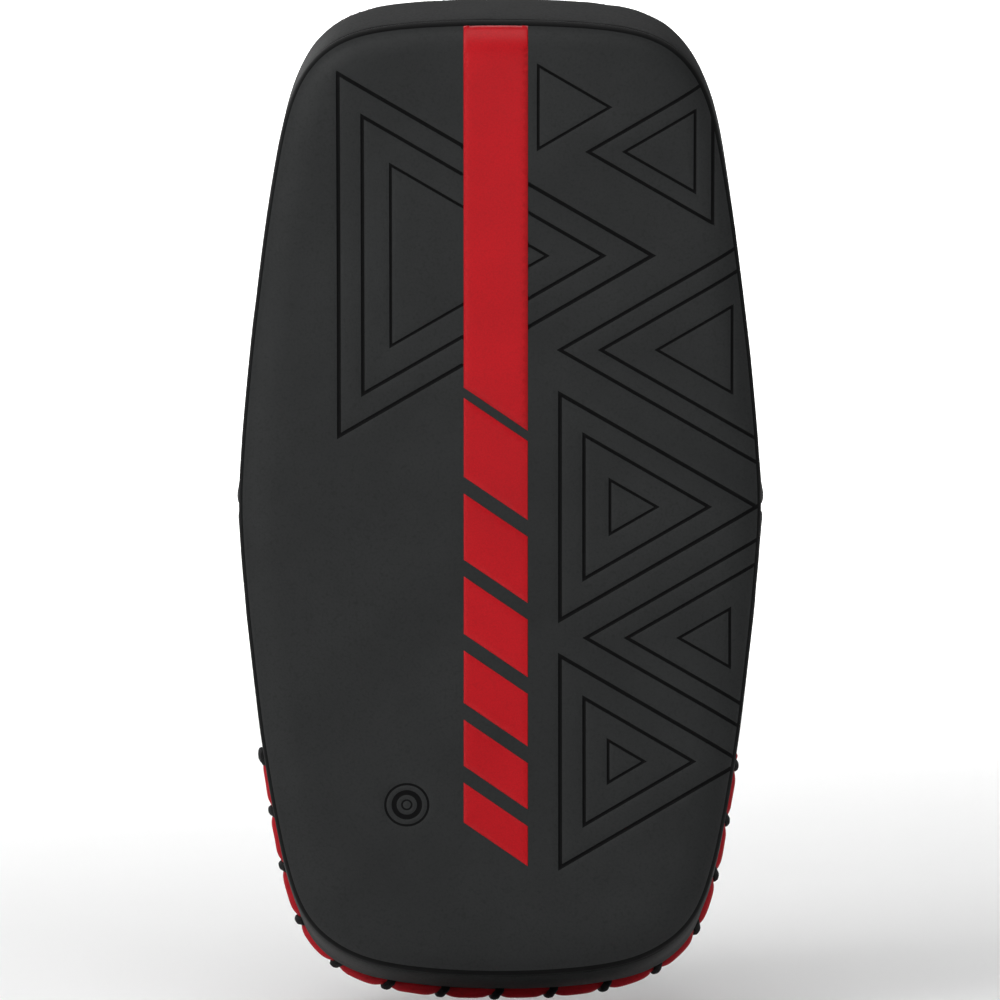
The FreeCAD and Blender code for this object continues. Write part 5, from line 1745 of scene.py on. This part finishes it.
def build_strap(key, height, seed):
    pre = "strap_" + key + "_"
    body_pad, body_tail = "pad", "tail_" + key
    thread_pad, thread_tail = [], []
    wv = wave_of(seed)
    web_path, web_n = arch[:112], arch_n[:112]
    web_len = 111 * ARCH_STEP

    # web: woven, with thicker selvedges
    def sel(z):
        return 0.10 * np.exp(-((np.abs(z) - 22.6) / 1.2) ** 2)
    flat = lambda u: smooth01((u - 16) / 10) * smooth01((web_len - u) / 10)
    web = band(pre + "webbing", web_path, web_n, HW, lambda u, z: -HT + wv(u, z) * flat(u) * 0.5,
               lambda u, z: HT - 0.05 + wv(u, z) * flat(u) * 0.5 + sel(z), height, [WEB])
    # loop fleece on the web's outer face
    i0, i1 = 44, 110
    rng_f = seed + 3
    loop = band(pre + "fleece_strip", arch[i0:i1], arch_n[i0:i1], HW - 1.5, const(HT - 0.25),
                lambda u, z: HT + LOOP_T - 0.12 + 0.10 * wobble(np.stack([u, z], 1), 2.2, rng_f), height, [LOOP], 34, 0.7, 0.7)
    L = (i1 - 1 - i0) * ARCH_STEP
    thread_pad.append(band_row(arch[i0:i1], arch_n[i0:i1], box_rows(2.0, L - 2.0, HW - 3.4, False)[0], HT + LOOP_T - 0.15, height, THREAD))
    # padded lining under the web, leather over foam with sewn cross lines
    a, b = 36, 105
    total = (b - 1 - a) * ARCH_STEP
    cuts = [total * k / 5 for k in (1, 2, 3, 4)]
    wl = HW - 2.0

    def puff(u, z):
        edge = np.clip(np.minimum(np.minimum(u, total - u), wl - np.abs(z)), 0, 6) / 6
        rise = np.sqrt(np.clip(1 - (1 - edge) ** 2, 0, 1))
        dc = np.full(len(z), 99.0)
        for c in cuts:
            dc = np.minimum(dc, np.abs(u - c))
        ch = np.sqrt(np.clip(1 - (1 - np.clip(dc / 7.5, 0, 1)) ** 2, 0, 1))
        p = np.stack([u, z], 1)
        crease = 0.16 * wobble(p * np.array([1.0, 0.35]), 4.2, seed + 5.0) * np.exp(-((dc - 3.0) / 3.0) ** 2)
        return (0.42 + 0.58 * rise) * (0.52 + 0.48 * ch) + crease * rise + 0.05 * wobble(p, 12.0, seed + 6.0)

    lining = band(pre + "padded_lining", np.asarray(arch[a:b]), arch_n[a:b], wl, lambda u, z: -HT - 0.1 - 3.75 * puff(u, z),
                  const(-HT + 0.3), height, [BLACK_SOFT], 34, 1.4, 1.6)
    for c in cuts:
        thread_pad.append(band_row(arch[a:b], arch_n[a:b], [(c, -wl + 2.5), (c, wl - 2.5)], -HT - 0.1 - 3.75 * 0.50, height, THREAD_GREY, flip=True))
    # patches over the sewn-down ends
    anchor, rows = patch_piece(pre + "anchor_patch", -91.0, -70.5, 4.0, 2.0, 3.9, HW, height, seed + 7.0)
    thread_pad += rows
    ring_patch, rows = patch_piece(pre + "ring_patch", 81.5, 92.0, 5.0, 2.0, 4.9, HW - 0.4, height, seed + 8.0)
    thread_pad += rows
    # ring tab: one strip folded round the ring's lower bar
    tab = [(88.0, 1.2), (82.0, 1.2), (76.0, 1.2), (71.0, 1.2)]
    tab += [(pin[0] + 3.1 * math.cos(math.radians(t)), pin[1] + 3.1 * math.sin(math.radians(t))) for t in (-90, -112, -135, -157, -180, -203, -225, -248, -270)]
    tab += [(71.0, 7.1), (75.5, 5.6), (79.0, 3.5), (82.0, 2.95), (88.0, 2.85)]
    tp, tn = smooth_path(tab, 1.0)
    ring_tab = band(pre + "ring_tab_strip", tp, tn, HW - 0.4, const(-0.78), const(0.78), height, [WEB], 26, 0.8, 0.6)
    # tail: from its tip along the arch, round the ring's bar and back under itself
    tip = 64
    tail_pts = [arch[i] + arch_n[i] * TAIL_OFF for i in range(tip, N_LINE + 1, 4)]
    tail_pts += [arch_at(4.0, TAIL_OFF - 0.35), arch_at(8.0, FOLD_R + 0.18), arch_at(TO_BAR - 2.2, FOLD_R + 0.02)]
    out_n = arch_n[-1]
    a0 = math.atan2(out_n[1], out_n[0])
    for k in range(0, 9):
        t = a0 - math.pi * k / 8
        tail_pts.append(bar + FOLD_R * np.array([math.cos(t), math.sin(t)]))
    uo = TAIL_OFF - STRAP_T
    tail_pts += [arch_at(TO_BAR - 1.8, -FOLD_R + 0.04), arch_at(9.0, -2.9), arch_at(5.5, -1.0), arch_at(1.5, uo - 1.0),
                 arch_at(-2.5, uo - 0.1), arch_at(-6.0, uo), arch_at(-9.5, uo)]
    tpath, tn2 = smooth_path(tail_pts, 1.3)
    tail = band(pre + "tail_webbing", tpath, tn2, HW, const(-HT + 0.02), lambda u, z: HT - 0.06 + sel(z), height, [WEB])
    cumt = np.concatenate([[0], np.cumsum(np.linalg.norm(np.diff(tpath, axis=0), axis=1))])
    u_end = (N_LINE - tip) * ARCH_STEP * 1.06
    ue = float(cumt[np.argmin(np.linalg.norm(tpath - arch_at(-1.0, TAIL_OFF), axis=1))])
    for row in box_rows(ue - 7.5, ue + 1.0, HW - 3.0):
        thread_tail.append(band_row(tpath, tn2, row, HT - 0.05, height, THREAD_GREY))
    # hook strip on the tail's inner face
    i2, i3 = 66, 107
    hook = band(pre + "hook_strip", arch[i2:i3], arch_n[i2:i3], HW - 1.5,
                lambda u, z: HT + LOOP_T + PLAY + 0.06 + 0.05 * np.sin(u * 4.2) * np.sin(z * 4.2), const(TAIL_OFF - HT + 0.1),
                height, [HOOK], 34, 0.6, 0.6)
    u_hook0 = (i2 - tip) * ARCH_STEP * 1.06 + 1.8
    u_hook1 = ue - 10.5
    for z in (-HW + 3.0, HW - 3.0):
        thread_tail.append(band_row(tpath, tn2, [(u_hook0, z), (u_hook1, z)], HT - 0.05, height, THREAD))
    # red pull tab, folded over the tail's tip
    fold = [arch[i] + arch_n[i] * (TAIL_OFF + HT + 0.62) for i in range(73, 57, -2)]
    fold += [arch[57] + arch_n[57] * (TAIL_OFF + HT + 0.5)]
    c0 = arch[56] + arch_n[56] * (TAIL_OFF + 0.35)
    ti = np.array([arch_n[56][1], -arch_n[56][0]])
    for t in (60, 20, -20, -60):
        fold.append(c0 + arch_n[56] * 1.45 * math.sin(math.radians(t)) - ti * 1.0 * math.cos(math.radians(t)))
    fold += [arch[i] + arch_n[i] * (TAIL_OFF - 0.55) for i in (57, 59, 61, 62.6) if isinstance(i, int)]
    fp, fnn = smooth_path(fold, 1.0)
    pull = band(pre + "red_pull_tab", fp, -fnn, HW - 5.0, const(-0.6),
                lambda u, z: 0.6 - 0.30 * np.exp(-((np.abs(z) - 16.6) / 0.5) ** 2) + 0.05 * wobble(np.stack([u, z], 1), 9.0, seed + 9.0), height, [RED], 30, 0.9, 0.7)
    lp = (73 - 57) * ARCH_STEP * 1.07
    for row in box_rows(2.4, lp * 0.46, HW - 8.4, True):
        thread_tail.append(band_row(fp, -fnn, row, 0.5, height, THREAD_RED))
    thread_tail.append(band_row(fp, -fnn, [(lp * 0.46 + 2, -16.6), (lp * 0.95, -16.6)], 0.45, height, THREAD_RED))
    thread_tail.append(band_row(fp, -fnn, [(lp * 0.46 + 2, 16.6), (lp * 0.95, 16.6)], 0.45, height, THREAD_RED))
    tpad = join(pre + "sewing", thread_pad)
    ttail = join(pre + "tail_sewing", thread_tail)
    for ob, body, nodes, slot in ((web, body_pad, ("web",), "black_webbing"), (loop, body_pad, ("loop_patch",), "fleece"),
                                  (lining, body_pad, ("lining",), "black_leather"), (anchor, body_pad, ("web_anchor",), "black_leather"),
                                  (ring_patch, body_pad, ("ring_anchor",), "black_leather"), (ring_tab, body_pad, ("ring_tab",), "black_webbing"),
                                  (tail, body_tail, ("tail",), "black_webbing"), (hook, body_tail, ("hook_patch",), "hook_tape"),
                                  (pull, body_tail, ("pull_tab",), "red_leather"), (tpad, body_pad, (), "black_leather"),
                                  (ttail, body_tail, (), "black_leather")):
        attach(ob, body)
        if nodes:
            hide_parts(*[pre + n for n in nodes])


for _k, (_key, _h) in enumerate(STRAPS.items()):
    build_strap(_key, _h, 40 + 10 * _k)


# ------------------------------------------------------------------ stage, light and camera
def simple_mat(name, col, rough):
    m, nt, b = material(name)
    v = coords(nt)
    c = ramp(nt, noise(nt, v, 3.0), [(0.3, tuple(x * 0.985 for x in col)), (0.7, col)])
    nt.links.new(c, b.inputs["Base Color"])
    b.inputs["Roughness"].default_value = rough
    b.inputs["Specular IOR Level"].default_value = 0.2
    return m


def build_stage():
    """A pale floor that curves up into a backdrop behind the object."""
    prof = [(-7.0, 0.0), (3.0, 0.0)]
    for k in range(1, 13):
        a = k / 12 * math.pi / 2
        prof.append((3.0 + 0.5 * math.sin(a), 0.5 - 0.5 * math.cos(a)))
    prof.append((3.5, 0.72))
    z0 = CAD_BOX[0][2] - 0.0005
    rows = []
    for x in np.linspace(-7, 7, 9):
        rows.append([(x, y, z0 + z) for y, z in prof])
    faces = grid_faces(9, len(prof))
    mat = simple_mat("pale_floor", (0.96, 0.96, 0.96), 0.6)
    nt = mat.node_tree
    b = [nd for nd in nt.nodes if nd.type == "BSDF_PRINCIPLED"][0]
    geo = nt.nodes.new("ShaderNodeNewGeometry")             # the far floor glows a little, so that it stays pale
    far = nt.nodes.new("ShaderNodeVectorMath")
    far.operation = "LENGTH"
    nt.links.new(geo.outputs["Position"], far.inputs[0])
    glow = nt.nodes.new("ShaderNodeMapRange")
    glow.interpolation_type = "SMOOTHSTEP"
    for k, v in zip(("From Min", "From Max", "To Min", "To Max"), (1.2, 3.4, 0.0, 0.66)):
        glow.inputs[k].default_value = v
    nt.links.new(far.outputs["Value"], glow.inputs["Value"])
    nt.links.new(glow.outputs["Result"], b.inputs["Emission Strength"])
    b.inputs["Emission Color"].default_value = (1.0, 1.0, 1.0, 1.0)
    ob = new_mesh("floor", np.concatenate([np.array(r) for r in rows]), faces, True, [mat])
    return ob


floor = build_stage()

world = bpy.data.worlds.new("studio")
SCENE.world = world
world.use_nodes = True
_wt = world.node_tree
_bg = _wt.nodes["Background"]
_tc = _wt.nodes.new("ShaderNodeTexCoord")
_sep = _wt.nodes.new("ShaderNodeSeparateXYZ")
_wt.links.new(_tc.outputs["Generated"], _sep.inputs[0])
_sky = _wt.nodes.new("ShaderNodeMapRange")              # bright near the horizon, dim overhead
_sky.interpolation_type = "SMOOTHSTEP"
for _k, _v in zip(("From Min", "From Max", "To Min", "To Max"), (0.03, 0.17, 1.0, 0.0)):
    _sky.inputs[_k].default_value = _v
_wt.links.new(_sep.outputs[2], _sky.inputs["Value"])
_rear = _wt.nodes.new("ShaderNodeMapRange")             # brighter behind the object than in front of it
_rear.interpolation_type = "SMOOTHSTEP"
for _k, _v in zip(("From Min", "From Max", "To Min", "To Max"), (0.2, 0.8, 0.50, 0.82)):
    _rear.inputs[_k].default_value = _v
_wt.links.new(_sep.outputs[1], _rear.inputs["Value"])
_mul = _wt.nodes.new("ShaderNodeMath")
_mul.operation = "MULTIPLY"
_wt.links.new(_sky.outputs["Result"], _mul.inputs[0])
_wt.links.new(_rear.outputs["Result"], _mul.inputs[1])
_add = _wt.nodes.new("ShaderNodeMath")
_add.operation = "ADD"
_wt.links.new(_mul.outputs[0], _add.inputs[0])
_add.inputs[1].default_value = 0.13
_wt.links.new(_add.outputs[0], _bg.inputs[1])
_bg.inputs[0].default_value = (1.0, 1.0, 1.0, 1.0)

MID = np.array([0.0, -ORG[1] * MM + 0.0, -ORG[2] * MM])     # middle of the face in the row's frame


def area_light(name, loc, target, size, power, size_y=None, color=(1, 1, 1)):
    d = bpy.data.lights.new(name, "AREA")
    d.energy = power
    d.shape = "RECTANGLE" if size_y else "SQUARE"
    d.size = size
    if size_y:
        d.size_y = size_y
    d.color = color
    o = bpy.data.objects.new(name, d)
    SCENE.collection.objects.link(o)
    o.location = loc
    o.rotation_euler = (Vector(target) - Vector(loc)).to_track_quat("-Z", "Y").to_euler()
    return o


T = tuple(MID)
area_light("key", (-0.92, -1.0, 0.60), T, 0.75, 9.8, 0.75)
area_light("top", (0.0, -1.25, 1.8), T, 1.5, 12.5, 1.0)
area_light("front_wash", (0.0, -3.0, 2.3), (0.0, -3.5, -0.2), 3.2, 30, 1.4)
area_light("rear", (-1.3, 1.5, 0.75), T, 1.0, 13, 0.8)
area_light("back_wash", (0.0, 1.9, 2.1), (0.0, 3.0, -0.2), 3.6, 66, 1.8)

cam_d = bpy.data.cameras.new("camera")
cam = bpy.data.objects.new("camera", cam_d)
SCENE.collection.objects.link(cam)
SCENE.camera = cam
CAM_DIST = 2.2
cam.location = (MID[0], MID[1] - CAM_DIST, MID[2] + 0.055)
aim = Vector((MID[0], MID[1], MID[2] - 0.0006))
cam.rotation_euler = (aim - cam.location).to_track_quat("-Z", "Y").to_euler()
cam_d.sensor_width = 36.0
cam_d.lens = 36.0 * CAM_DIST / (0.3916 * 1.0)
SCENE.view_settings.view_transform = "Standard"
SCENE.view_settings.look = "None"
SCENE.view_settings.exposure = 0.0
